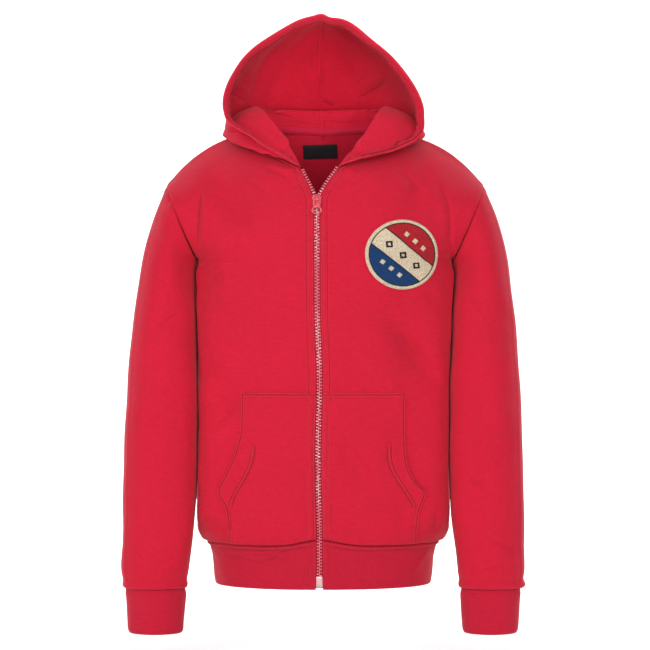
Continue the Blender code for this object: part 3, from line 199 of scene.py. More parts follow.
# by piece: from x, z to x, z of a small crease, half width, height outwards, and skew, which
# makes one flank steeper than the other
CREASES = {
    "front_left": (
        (24, -362, 70, -430, 5, -2, 0.5), (40, -130, 92, -196, 20, 2, 0),
        (96, -236, 128, -280, 7, -2.7, 0.4), (60, -440, 116, -486, 14, -2, 0),
        (150, -46, 160, -78, 4, -2.7, 0.4), (160, -78, 164, -146, 4, -2.7, 0.4),
        (152, -60, 157, -120, 5, 2, 0), (146, -462, 141, -492, 3.5, -2.2, 0),
        (98, -26, 126, -58, 6, -2.4, 0.3), (104, -240, 150, -300, 9, -2.4, 0.6),
        (128, -178, 158, -214, 9, -2.2, 0.3), (30, -52, 62, -26, 3.5, 2, 0),
    ),
    "front_right": (
        (-140, -276, -162, -306, 8, -2.5, 0.3), (-104, -326, -150, -364, 10, -2.9, 0.4),
        (-60, -70, -100, -38, 9, -2, 0), (-40, -236, -96, -296, 20, -2, 0),
        (-40, -420, -92, -470, 14, 1.7, 0), (-157, -56, -162, -130, 5, -3.7, 0.4),
        (-149, -60, -152, -122, 5, 2.2, 0), (-150, -42, -90, -102, 12, -3.1, 0.2),
        (-67, -25, -32, -37, 3, 2.5, 0), (-70, -30, -38, -44, 3, -2, 0),
        (-130, -160, -160, -190, 8, -2.2, 0.3), (-142, -470, -120, -496, 5, -1.9, 0),
    ),
    "back": (
        (-128, -150, -70, -182, 11, -2.7, 0.3), (56, -176, 120, -230, 12, -2.7, 0.3),
    ),
    "sleeve_right": (
        (-190, -51, -199, -74, 4, -2.7, 0), (-200, -120, -232, -96, 8, -2.5, 0.3),
        (-176, -206, -222, -236, 7, -2.5, 0.4), (-182, -330, -228, -352, 8, -2.4, 0.3),
        (-196, -472, -246, -452, 8, -2.2, 0.3), (-186, -520, -222, -538, 6, -2, 0.3),
    ),
    "sleeve_left": (
        (188, -54, 200, -80, 5, -2.7, 0.2), (182, -196, 236, -250, 9, -3.1, 0.4),
        (190, -290, 244, -262, 9, -2.2, 0.3), (178, -420, 214, -446, 7, -2.4, 0.3),
        (214, -500, 250, -516, 7, -2.4, 0.3), (196, -540, 236, -530, 5, -2, 0),
    ),
    "hood_right": (
        (-14, 118, -10, 68, 9, -4.8, 0), (-122, 118, -104, 103, 4, 2.8, 0),
        (-124, 98, -102, 85, 4, -2.8, 0), (-122, 80, -103, 68, 4, 2.8, 0),
    ),
    "hood_left": (
        (-3, 78, 16, 68, 4, 3.6, 0), (43, 76, 84, 99, 5, 4.8, 0.4),
        (46, 90, 80, 108, 6, -3.2, 0), (104, 112, 120, 98, 4, 2.6, 0),
    ),
    "stand_right": (
        (-84, 60, -34, 47, 3.5, 3.6, 0.3), (-78, 68, -44, 60, 3, -3, 0),
        (-60, 40, 10, 30, 4.5, -3.4, 0.4),
    ),
    "stand_left": (
        (58, 60, 84, 50, 3.5, 3.4, 0.3), (62, 50, 92, 40, 3, -3, 0),
        (-20, 44, 66, 40, 4.5, 2.6, 0.4),
    ),
    "hem_front": (
        (-123, -520, -77, -530, 5, -2, 0.3), (-77, -530, -42, -511, 5, -2, 0.3),
        (58, -515, 106, -531, 6, -1.9, 0.3), (116, -542, 136, -514, 4, 1.7, 0),
    ),
}


class Face(Enum):
    """The two faces of the body."""

    FRONT = "front"
    BACK = "back"


class Side(Enum):
    """The wearer's sides, and the sign of x there."""

    LEFT = 1.0
    RIGHT = -1.0

    @property
    def tag(self) -> str:
        """The side's word in a piece's name."""
        return self.name.lower()


# ---- arithmetic of curves
def hermite(at: Array, knots: Array, values: Array, slopes: Array) -> Array:
    """Cubics between knots that have the given values and slopes there.

    Args:
        at: where to read the curve.
        knots: increasing positions of the values.
        values: one value, or one array of values, for each knot.
        slopes: the same of slopes.

    Returns:
        The curve at each position.
    """
    at = np.clip(np.asarray(at, float), knots[0], knots[-1])
    cell = np.clip(np.searchsorted(knots, at, side="right") - 1, 0, len(knots) - 2)
    grow = (...,) + (None,) * (values.ndim - 1)
    wide = np.diff(knots)[cell][grow]
    t = (at - knots[cell])[grow] / wide
    return (values[cell] * (1 + 2 * t) * (1 - t) ** 2 + slopes[cell] * wide * t * (1 - t) ** 2
            + values[cell + 1] * t * t * (3 - 2 * t) - slopes[cell + 1] * wide * t * t * (1 - t))


def between(knots: Sequence[float], values: Array) -> tuple[Array, Array, Array, Array]:
    """Knots and values as arrays, the gaps between knots, and the slopes across them."""
    knots, values = np.asarray(knots, float), np.asarray(values, float)
    gap = np.diff(knots).reshape((-1,) + (1,) * (values.ndim - 1))
    return knots, values, gap, np.diff(values, axis=0) / gap


def glide(at: Array, knots: Sequence[float], values: Array) -> Array:
    """A smooth curve through the values that never overshoots them.

    Formula: cubic between knots, its slope at each knot the weighted harmonic mean of the
    slopes on the two sides, or nothing where they turn.

    Args:
        at: where to read the curve.
        knots: increasing positions of the values.
        values: one value, or one array of values, for each knot.

    Returns:
        The curve at each position.
    """
    knots, values, gap, slope = between(knots, values)
    left, right = slope[:-1], slope[1:]
    heavy, light = 2 * gap[1:] + gap[:-1], gap[1:] + 2 * gap[:-1]
    same = left * right > 0
    mean = (heavy + light) / (heavy / np.where(same, left, 1) + light / np.where(same, right, 1))
    inner = np.where(same, mean, 0)
    return hermite(at, knots, values, np.concatenate([slope[:1], inner, slope[-1:]]))


def flow(at: Array, knots: Sequence[float], values: Array) -> Array:
    """A smooth curve through the values, which may overshoot them.

    Formula: as glide, but each knot's slope is the mean of those on its two sides, weighted
    by the gaps.

    Args:
        at: where to read the curve.
        knots: increasing positions of the values.
        values: one value, or one array of values, for each knot.

    Returns:
        The curve at each position.
    """
    knots, values, gap, slope = between(knots, values)
    share = gap[:-1] / (gap[:-1] + gap[1:])
    inner = slope[:-1] * (1 - share) + slope[1:] * share
    return hermite(at, knots, values, np.concatenate([slope[:1], inner, slope[-1:]]))


def read_table(at: Array, table: Sequence[tuple]) -> Array:
    """The columns of a table read at values of its first column, without overshoot."""
    table = np.array(sorted(table), float)
    return glide(at, table[:, 0], table[:, 1:])


def unit(vectors: Array) -> Array:
    """Vectors of the same directions and of length one."""
    return vectors / np.maximum(np.linalg.norm(vectors, axis=-1, keepdims=True), 1e-9)


def arc_length(line: Array) -> Array:
    """The way along a line from its first point to each of its points."""
    return np.concatenate([[0.0], np.cumsum(np.linalg.norm(np.diff(line, axis=0), axis=1))])


def read_line(at: Array, known: Array, line: Array) -> Array:
    """Points at positions along a line whose points have known positions."""
    return np.stack([np.interp(at, known, line[:, k]) for k in range(3)], axis=1)


def oblong(count: int, wide: float, deep: float) -> tuple[Array, Array]:
    """A closed ring between an ellipse and a box.

    Formula: cosine and sine, each raised to a power with its sign kept.

    Args:
        count: how many points it has.
        wide: the cosine's power, 1 for round and less for squarer.
        deep: the sine's.

    Returns:
        Steps across and out, between -1 and 1.
    """
    turn = 2 * np.pi * (np.arange(count) + 0.5) / count
    across, out = np.cos(turn), np.sin(turn)
    return np.sign(across) * np.abs(across) ** wide, np.sign(out) * np.abs(out) ** deep


def ringed(centre: Array, *ways: tuple[Array, Array]) -> Array:
    """Rings of points about centres.

    Args:
        centre: the centres.
        ways: pairs of axes, one for each centre, and steps along them by ring and place.

    Returns:
        Points by centre, ring and place.
    """
    rings = centre[:, None, None]
    for axis, step in ways:
        rings = rings + axis[:, None, None] * step[..., None]
    return rings


def arc(net: Array, part: Array) -> Array:
    """Points of cubic arcs given by their ends and leads, net[..., 4, 3], at part 0 to 1."""
    s = np.asarray(part, float)[..., None]
    a, b, c, d = (net[..., k, :] for k in range(4))
    return (1 - s) ** 3 * a + 3 * s * (1 - s) ** 2 * b + 3 * s * s * (1 - s) * c + s ** 3 * d


def fade(x: Array) -> Array:
    """0 below 0, 1 above 1, smooth between."""
    x = np.clip(x, 0.0, 1.0)
    return x * x * (3 - 2 * x)


def bell(distance: Array, middle: float, wide: float, high: float) -> Array:
    """A soft ridge, or a groove where high is negative: high times a bell about middle."""
    return high * np.exp(-((distance - middle) / wide) ** 2)


def rounding(distance: Array, radius: float) -> Array:
    """How far an edge has sunk: a quarter circle of that radius, measured from its rim."""
    inside = np.clip(1 - distance / radius, 0.0, 1.0)
    return radius * (1 - np.sqrt(1 - inside * inside))


def uneven(u: Array, v: Array, pitch: float, seed: float) -> Array:
    """Soft unevenness between -1 and 1: five sines that run at different angles, averaged.

    Args:
        u: position along the cloth.
        v: position across it.
        pitch: about how far it is from one swell to the next.
        seed: turns and shifts the waves, so that two pieces differ.

    Returns:
        The swell at each place.
    """
    total = np.zeros(np.broadcast(u, v).shape)
    for k in range(5):
        turn = seed + 2.4 * k
        wave = 2 * np.pi / (pitch * (0.7 + 0.15 * k))
        total += np.sin(wave * (u * np.cos(turn) + v * np.sin(turn)) + 3.7 * seed * (k + 1))
    return total / 5


# ---- the garment's cut
def spread(length: Array, first: Sequence[float], last: Sequence[float], pitch: float) -> Array:
    """Positions along lines: close together near their ends, and even between.

    Args:
        length: one or more whole lengths.
        first: distances from the start that get a position each.
        last: the same from the end.
        pitch: the even step between, on the longest line.

    Returns:
        Increasing positions, one row for each length.
    """
    length = np.atleast_1d(np.asarray(length, float))[:, None]
    free = length - last[-1] - first[-1]
    steps = max(2, int(round(free.max() / pitch)))
    middle = first[-1] + free * np.linspace(0, 1, steps + 1)[1:-1]
    start = np.broadcast_to(np.array(first), (len(length), len(first)))
    return np.concatenate([start, middle, length - np.array(last)[::-1]], axis=1)


def along_rows(at: Array, known: Array, values: Array) -> Array:
    """Read each row of values, known at that row of known, at that row of at.

    Args:
        at: positions, one row for each row of known.
        known: increasing positions of the values.
        values: one value, or several, at each known position.

    Returns:
        The values at the positions, by straight lines between the known ones.
    """
    at = np.clip(at, known[:, :1], known[:, -1:])
    shift = np.arange(len(known))[:, None] * (np.ptp(known) + 1.0)
    flat = values.reshape(known.size, -1)
    read = [np.interp((at + shift).ravel(), (known + shift).ravel(), v) for v in flat.T]
    return np.stack(read, axis=-1).reshape(at.shape + values.shape[2:])


def crease(x: Array, z: Array, ends: Sequence[float], wide: float, skew: float) -> Array:
    """The shape of one fold seen from the front: 1 on its line, falling off beside and past it.

    Formula: a bell across the line, whose one flank the skew makes steeper, times a flat-topped
    bell along it.

    Args:
        x: where across the garment.
        z: height.
        ends: x and z of the line's two ends.
        wide: half width.
        skew: 0 for an even fold.

    Returns:
        The share of the fold's depth at each place.
    """
    x0, z0, x1, z1 = ends
    long = np.hypot(x1 - x0, z1 - z0)
    ux, uz = (x1 - x0) / long, (z1 - z0) / long
    along = ((x - x0) * ux + (z - z0) * uz) / long - 0.5
    across = (-(x - x0) * uz + (z - z0) * ux) / wide
    across = across * (1 + skew * np.tanh(2 * across))
    return np.exp(-across ** 2 - (np.abs(along) / 0.46) ** 3)


def creased(piece: str, x: Array, z: Array) -> Array:
    """The heights of all small creases of a piece."""
    total = np.zeros(np.broadcast(x, z).shape)
    for *ends, wide, high, skew in CREASES.get(piece, ()):
        total += high * crease(x, z, ends, wide, skew)
    return total


@dataclass(frozen=True)
class Pattern:
    """The sections that all the pieces are cut from, and how the whole settles."""

    hem_seam: float = -506.5
    hem_lift: float = 8.0
    hem_lift_wide: float = 32.0
    zip_half: float = 4.5
    sway_wide: float = 70.0
    lead: float = 0.60
    yoke_rows: int = 11
    neck_row: int = 5
    yoke_foot: float = -152.0
    row_high: float = 27.0
    seam_gap: float = 0.32
    armpit: tuple = (165.4, 0.0, -143.0)
    shoulder_tip: tuple = (206.0, 4.0, -47.5)
    armhole_front: float = 60.0
    armhole_back: float = 58.0
    armhole_full: float = 0.62

    def armhole(self, row: Array, face: Face) -> Array:
        """The armhole loop at a row of the yoke: a half turn from the armpit to the tip."""
        turn = np.pi * np.asarray(row, float)[..., None] / self.yoke_rows
        armpit, tip = np.array(self.armpit), np.array(self.shoulder_tip)
        deep = -self.armhole_front if face is Face.FRONT else self.armhole_back
        out = np.array([1.0, 0.0, 0.0]) * np.sin(turn)
        power = np.where(turn < np.pi / 2, self.armhole_full, 1.0)
        forward = np.clip(np.sin(turn), 0.0, 1.0) ** power
        return ((armpit + tip) / 2 - np.cos(turn) * (tip - armpit) / 2 + out
                + forward * [0.0, deep, 0.0])

    def row_at(self, height: Array) -> Array:
        """The row that a height of the body has; the yoke's own rows count on from it."""
        return (np.asarray(height, float) - self.yoke_foot) / self.row_high

    def nets(self, face: Face) -> tuple[Array, Array]:
        """Knots and nets of the body's sections, from the hem seam to the shoulder seam."""
        sign = -1.0 if face is Face.FRONT else 1.0
        knots, nets = [], []
        for height, wide, zip_deep, front, back in BODY:
            deep = sign * (front if face is Face.FRONT else back)
            start = (self.zip_half, -zip_deep) if face is Face.FRONT else (0.0, deep)
            knots.append(float(self.row_at(height)))
            nets.append([(*start, height), (self.lead * wide, deep, height),
                         (wide, self.lead * deep, height), (wide, 0.0, height)])
        flows = np.array(ARMHOLE_FLOW)
        for row, *start in (FRONT_YOKE if face is Face.FRONT else BACK_YOKE):
            way = flow(row, flows[:, 0], flows[:, 1:])
            end = self.armhole(row, face)
            step = way[:3] / np.linalg.norm(way[:3]) * [1.0, -sign, 1.0] * way[3]
            knots.append(row)
            nets.append([start[:3], start[3:], tuple(end - step), tuple(end)])
        return np.array(knots, float), np.array(nets, float)

    def point(self, face: Face, row: Array, part: Array) -> Array:
        """The outer surface of one half of the front or back, before it settles.

        Formula: the nets are interpolated by row, and each gives a cubic arc by part; the
        line on which the rows start turns a corner where the neck edge begins.

        Args:
            face: front or back.
            row: rows of the body, upwards.
            part: part of a row, 0 at the middle and 1 at the side seam or the armhole.

        Returns:
            Points on the wearer's left.
        """
        row = np.asarray(row, float)
        knots, nets = self.nets(face)
        net = flow(row, knots, nets)
        low, high = knots <= self.neck_row, knots >= self.neck_row
        below, above = glide(row, knots[low], nets[low, 0]), flow(row, knots[high], nets[high, 0])
        net[..., 0, :] = np.where(row[..., None] <= self.neck_row, below, above)
        yoke = row >= 0
        net[yoke, 3] = self.armhole(row, face)[yoke]
        net[~yoke, 3, 1] = 0.0
        return arc(net, part)

    def neck_seam(self, share: Array) -> Array:
        """The neck seam, at shares of the way from the zip's top round to the middle back."""
        rows = self.yoke_rows - self.neck_row
        row = self.neck_row + 2 * rows * np.asarray(share, float)
        front = self.point(Face.FRONT, np.minimum(row, self.yoke_rows), 0 * row)
        back = self.point(Face.BACK, np.minimum(2 * self.yoke_rows - row, self.yoke_rows), 0 * row)
        return np.where((row <= self.yoke_rows)[..., None], front, back)

    def locate(self, face: Face, x: Array, z: Array) -> tuple[Array, Array]:
        """The row and part at which the unsettled surface has given x and z, by Newton's method.

        Args:
            face: front or back.
            x: distances from the middle plane.
            z: heights.

        Returns:
            Rows and parts.
        """
        rows = np.linspace(self.row_at(self.hem_seam), self.neck_row, 60)
        row = np.interp(z, self.point(face, rows, 0 * rows)[:, 2], rows)
        part = np.abs(x) / 190.0
        tiny = 1e-4
        for _ in range(12):
            here = self.point(face, row, part)
            by_row = (self.point(face, row + tiny, part) - here) / tiny
            by_part = (self.point(face, row, part + tiny) - here) / tiny
            miss_x, miss_z = np.abs(x) - here[..., 0], z - here[..., 2]
            det = by_row[..., 0] * by_part[..., 2] - by_row[..., 2] * by_part[..., 0]
            row = row + (miss_x * by_part[..., 2] - miss_z * by_part[..., 0]) / det
            part = part + (by_row[..., 0] * miss_z - by_row[..., 2] * miss_x) / det
        return row, part

    def settle(self, points: Array, group: str) -> Array:
        """Lean, sway and fold even cloth into the way it really lies.

        Formula: a fold moves points along y by its depth, falling off as a bell across its
        line and more slowly past its ends, on its own face alone.

        Args:
            points: points of the even garment.
            group: body or sleeve, whose folds are used, or hood, which only leans and sways.

        Returns:
            The settled points.
        """
        p = np.array(points, float)
        x, y, z = p[..., 0].copy(), p[..., 1].copy(), p[..., 2].copy()
        p[..., 0] += read_table(z, LEAN)[..., 0]
        if group != "sleeve":
            near = np.exp(-(x / self.sway_wide) ** 2) * fade(-y / 40)
            p[..., 0] += read_table(z, ZIP_SWAY)[..., 0] * near
            lift = np.exp(-(x / self.hem_lift_wide) ** 2 - ((z - self.hem_seam) / 30) ** 2)
            p[..., 2] += self.hem_lift * lift * fade(-y / 40)
        for (kind, face), folds in FOLDS.items():
            if kind != group:
                continue
            sign = -1.0 if face == "front" else 1.0
            if kind == "body":
                limits = fade(sign * y / 45), fade((z + 500) / 40), fade((172 - np.abs(x)) / 25)
            else:
                limits = (fade((sign * (y + 40) + 6) / 30), fade((-150 - z) / 40),
                           fade((z + 560) / 20))
            for *ends, wide, deep in folds:
                here = crease(x, z, ends, wide, 0.0) * limits[0] * limits[1] * limits[2]
                p[..., 1] += sign * deep * here
        return p


PATTERN = Pattern()


# ---- surfaces and walls
@dataclass
class Surface:
    """A grid of points with normals; a ring's last column joins its first."""

    points: Array
    outward: float = 1.0
    ring: bool = False
    normals: Array = field(init=False)

    def __post_init__(self) -> None:
        """Work out the normals."""
        self.refresh()

    def refresh(self) -> None:
        """Unit normals: the cross product of the steps along columns and rows."""
        p = self.points
        if self.ring:
            across = np.roll(p, -1, 1) - np.roll(p, 1, 1)
        else:
            across = np.gradient(p, axis=1)
        self.normals = unit(np.cross(across, np.gradient(p, axis=0)) * self.outward)

    def travel(self, axis: int) -> Array:
        """Arc length from the first row (axis 0) or the first column (axis 1)."""
        step = np.linalg.norm(np.diff(self.points, axis=axis), axis=-1)
        total = np.cumsum(step, axis=axis)
        return np.concatenate([np.zeros_like(np.take(total, [0], axis)), total], axis=axis)

    def edges(self) -> tuple[Array, Array, Array, Array]:
        """Distances from the first column, the last, the first row and the last."""
        across, up = self.travel(1), self.travel(0)
        return across, across[:, -1:] - across, up, up[-1:] - up

    def raised(self, high: Array) -> "Surface":
        """The surface moved outwards by high."""
        moved = self.points + self.normals * np.asarray(high)[..., None]
        return Surface(moved, self.outward, self.ring)

    def read(self, row: Array, column: Array) -> tuple[Array, Array]:
        """Points and normals at fractional rows and columns, bilinear."""
        rows, columns = self.points.shape[:2]
        r = np.clip(np.floor(row).astype(int), 0, rows - 2)
        c = np.clip(np.floor(column).astype(int), 0, columns - 2)
        a, b = (row - r)[..., None], (column - c)[..., None]
        found = []
        for grid in (self.points, self.normals):
            low = grid[r, c] * (1 - b) + grid[r, c + 1] * b
            high = grid[r + 1, c] * (1 - b) + grid[r + 1, c + 1] * b
            found.append(low * (1 - a) + high * a)
        return found[0], unit(found[1])

    def quads(self) -> tuple[Array, Array]:
        """Faces seen anticlockwise from outside, and the cloth's own lengths at their corners.

        Returns:
            Numbers of points, and u and v in millimetres, for each face's four corners.
        """
        rows, columns = self.points.shape[:2]
        r, c = np.meshgrid(np.arange(rows - 1), np.arange(columns - (not self.ring)), indexing="ij")
        corner_r = np.stack([r, r, r + 1, r + 1], axis=-1).reshape(-1, 4)
        corner_c = np.stack([c, c + 1, c + 1, c], axis=-1).reshape(-1, 4)
        if self.outward < 0:
            corner_r, corner_c = corner_r[:, ::-1], corner_c[:, ::-1]
        grid = self
        if self.ring:
            closed = np.concatenate([self.points, self.points[:, :1]], axis=1)
            grid = Surface(closed, self.outward)
        u, v = grid.travel(1), grid.travel(0)
        lengths = np.stack([u[corner_r, corner_c], v[corner_r, corner_c]], axis=-1)
        return corner_r * columns + corner_c % columns, lengths


@dataclass
class Cloth:
    """Points, outward normals and faces of an outer surface, from one grid or several."""

    points: Array
    normals: Array
    faces: Array
    lengths: Array

    @classmethod
    def of(cls, surface: Surface) -> "Cloth":
        """The cloth of one surface."""
        faces, lengths = surface.quads()
        return cls(surface.points.reshape(-1, 3), surface.normals.reshape(-1, 3), faces, lengths)

    def joined(self, other: "Cloth", mine: Array, theirs: Array) -> "Cloth":
        """Both cloths as one, with pairs of points made the same.

        Args:
            other: the cloth to join.
            mine: numbers of points here.
            theirs: the numbers of the same points there.

        Returns:
            The joined cloth, without unused points.
        """
        number = np.arange(len(other.points)) + len(self.points)
        number[theirs] = mine
        faces = np.concatenate([self.faces, number[other.faces]])
        points = np.concatenate([self.points, other.points])
        normals = np.concatenate([self.normals, other.normals])
        normals[mine] = unit(normals[mine] + other.normals[theirs])
        used, faces_new = np.unique(faces, return_inverse=True)
        return Cloth(points[used], normals[used], faces_new.reshape(faces.shape),
                     np.concatenate([self.lengths, other.lengths]))

    def wall(self, thick: Array, swell: float = 0.14) -> tuple[Array, Array, Array]:
        """A closed wall: this surface, a second one inside it, and a rounded rim.

        Formula: the rim of a border point is a half circle from the outer point to the inner
        one, flattened to swell outwards.

        Args:
            thick: the wall's thickness, everywhere or at each point.
            swell: how far the rim stands out.

        Returns:
            Points, quads, and the lengths at the quads' corners.
        """
        count = len(self.points)
        thick = np.broadcast_to(np.asarray(thick, float), (count,))[:, None]
        inner = self.points - self.normals * thick
        start = self.faces.ravel()
        end = np.roll(self.faces, -1, axis=1).ravel()
        lone = ~np.isin(start * count + end, end * count + start)
        a, b = start[lone], end[lone]
        a_len = self.lengths.reshape(-1, 2)[lone]
        b_len = np.roll(self.lengths, -1, axis=1).reshape(-1, 2)[lone]
        ahead, behind = np.arange(count), np.arange(count)
        ahead[a], behind[b] = b, a
        rim = np.unique(a)
        place = np.zeros(count, int)
        place[rim] = np.arange(len(rim))
        out = unit(np.cross(self.points[ahead[rim]] - self.points[behind[rim]], self.normals[rim]))
        points, rows = [self.points, inner], [a]
        lines_b = [b]
        for k, turn in enumerate(np.radians([50.0, 90.0, 130.0])):
            middle = self.points[rim] - self.normals[rim] * thick[rim] / 2
            points.append(middle + self.normals[rim] * thick[rim] / 2 * np.cos(turn)
                          + out * swell * np.sin(turn))
            first = 2 * count + k * len(rim)
            rows.append(place[a] + first)
            lines_b.append(place[b] + first)
        rows.append(a + count)
        lines_b.append(b + count)
        strips = [np.stack([lines_b[k], rows[k], rows[k + 1], lines_b[k + 1]], axis=1)
                  for k in range(4)]
        faces = np.concatenate([self.faces, self.faces[:, ::-1] + count, *strips])
        strip_len = np.stack([b_len, a_len, a_len, b_len], axis=1)
        lengths = np.concatenate([self.lengths, self.lengths[:, ::-1], *([strip_len] * 4)])
        return np.concatenate(points), faces, lengths


def shells(rings: Array) -> tuple[Array, Array]:
    """Closed shells from rings of points, each end closed with a strip of quads.

    Args:
        rings: points by shell, ring and place on the ring; the last is an even number.

    Returns:
        Points and quads, all facing outwards.
    """
    count, tall, around = rings.shape[:3]
    r, c = np.meshgrid(np.arange(tall - 1), np.arange(around), indexing="ij")
    beside = (c + 1) % around
    side = np.stack([r * around + c, r * around + beside, (r + 1) * around + beside,
                     (r + 1) * around + c], axis=-1).reshape(-1, 4)
    k = np.arange(around // 2 - 1)
    low = np.stack([k + 1, k, around - 1 - k, around - 2 - k], axis=1)
    one = np.concatenate([side, low, low[:, ::-1] + (tall - 1) * around])
    p = rings[0].reshape(-1, 3) - rings[0].mean(axis=(0, 1))
    volume = np.einsum("ij,ij->i", p[one[:, 0]], np.cross(p[one[:, 1]], p[one[:, 2]]))
    volume = volume + np.einsum("ij,ij->i", p[one[:, 0]], np.cross(p[one[:, 2]], p[one[:, 3]]))
    if volume.sum() < 0:
        one = one[:, ::-1]
    faces = one[None] + (np.arange(count) * tall * around)[:, None, None]
    return rings.reshape(-1, 3), faces.reshape(-1, 4)


def hollows(points: Array, faces: Array, normals: Array) -> Array:
    """How deep in a groove each point lies: near 1 in one, below 0 on a ridge, 0 where flat.

    Formula: over the edges that leave a point, the mean of the rise along the normal divided
    by the squared length, which is the surface's bend; then bend / (|bend| + a soft limit).

    Args:
        points: the mesh's points.
        faces: its quads.
        normals: outward normals of the points.

    Returns:
        One value for each point.
    """
    soft = 0.09
    start, end = faces.ravel(), np.roll(faces, -1, axis=1).ravel()
    step = points[end] - points[start]
    square = np.maximum((step ** 2).sum(axis=1), 0.04)
    total, count = np.zeros(len(points)), np.zeros(len(points))
    for here, sign in ((start, 1.0), (end, -1.0)):
        rise = sign * (step * normals[here]).sum(axis=1) / square
        total += np.bincount(here, rise, len(points))
        count += np.bincount(here, minlength=len(points))
    bend = total / np.maximum(count, 1)
    return bend / (np.abs(bend) + soft)


def finished(name: str, points: Array, faces: Array, material: bpy.types.Material,
             lengths: Optional[Array] = None, body: str = GARMENT) -> bpy.types.Object:
    """Put points and faces in millimetres into a mesh and its object, and ride it on a body.

    Args:
        name: the piece's name.
        points: its points.
        faces: its quads.
        material: its finish.
        lengths: u and v at the quads' corners, where the pattern follows the cloth.
        body: the body that carries it.

    Returns:
        The new object, at the origin.
    """
    mesh = bpy.data.meshes.new(name)
    mesh.from_pydata((points * MM).tolist(), [], faces.tolist())
    if lengths is not None:
        layer = mesh.uv_layers.new(name="cloth")
        layer.data.foreach_set("uv", (lengths * MM).astype(np.float32).ravel())
        mesh.update()
        normals = np.empty(3 * len(points), np.float32)
        mesh.vertex_normals.foreach_get("vector", normals)
        # how deep each point lies in a groove; the knit's colour uses it for painted shade in
        # grooves and a painted highlight on ridges
        deep = hollows(points, faces, normals.reshape(-1, 3)).astype(np.float32)
        mesh.attributes.new("hollow", "FLOAT", "POINT").data.foreach_set("value", deep)
    mesh.shade_smooth()
    mesh.materials.append(material)
    mesh.update()
    piece = bpy.data.objects.new(name, mesh)
    bpy.context.scene.collection.objects.link(piece)
    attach(piece, body)
    area = np.linalg.norm(np.cross(points[faces[:, 2]] - points[faces[:, 0]],
                                   points[faces[:, 3]] - points[faces[:, 1]]), axis=1).sum() / 4e6
    LOG.info("%-26s %7d faces  half surface %.4f m2", name, len(faces), area)
    return piece


# ---- shader maths
def math_node(operation: str, turned: bool = False) -> Callable[..., "Signal"]:
    """A method of Signal that adds a Math node.

    Args:
        operation: the node's operation.
        turned: whether the other value comes first.

    Returns:
        The method.
    """
    def method(self: "Signal", *others: Any) -> "Signal":
        """The operation on this signal and the other values."""
        values = (*others, self) if turned else (self, *others)
        return self.graph.node("ShaderNodeMath", {"operation": operation}, dict(enumerate(values)))
    return method


class Signal:
    """A socket of a material's graph, with the arithmetic that the finishes use."""

    def __init__(self, graph: "Graph", socket: bpy.types.NodeSocket) -> None:
        """Keep the graph and the socket."""
        self.graph = graph
        self.socket = socket

    __add__ = __radd__ = math_node("ADD")
    __sub__, __rsub__ = math_node("SUBTRACT"), math_node("SUBTRACT", turned=True)
    __mul__ = __rmul__ = math_node("MULTIPLY")
    wave, size, root = math_node("SINE"), math_node("ABSOLUTE"), math_node("SQRT")
    most = math_node("MAXIMUM")

    def step(self, low: float, high: float) -> "Signal":
        """0 below low and 1 above high, smooth between."""
        return self.graph.node("ShaderNodeMapRange", {"interpolation_type": "SMOOTHSTEP"},
                               {0: self, 1: low, 2: high, 3: 0.0, 4: 1.0})


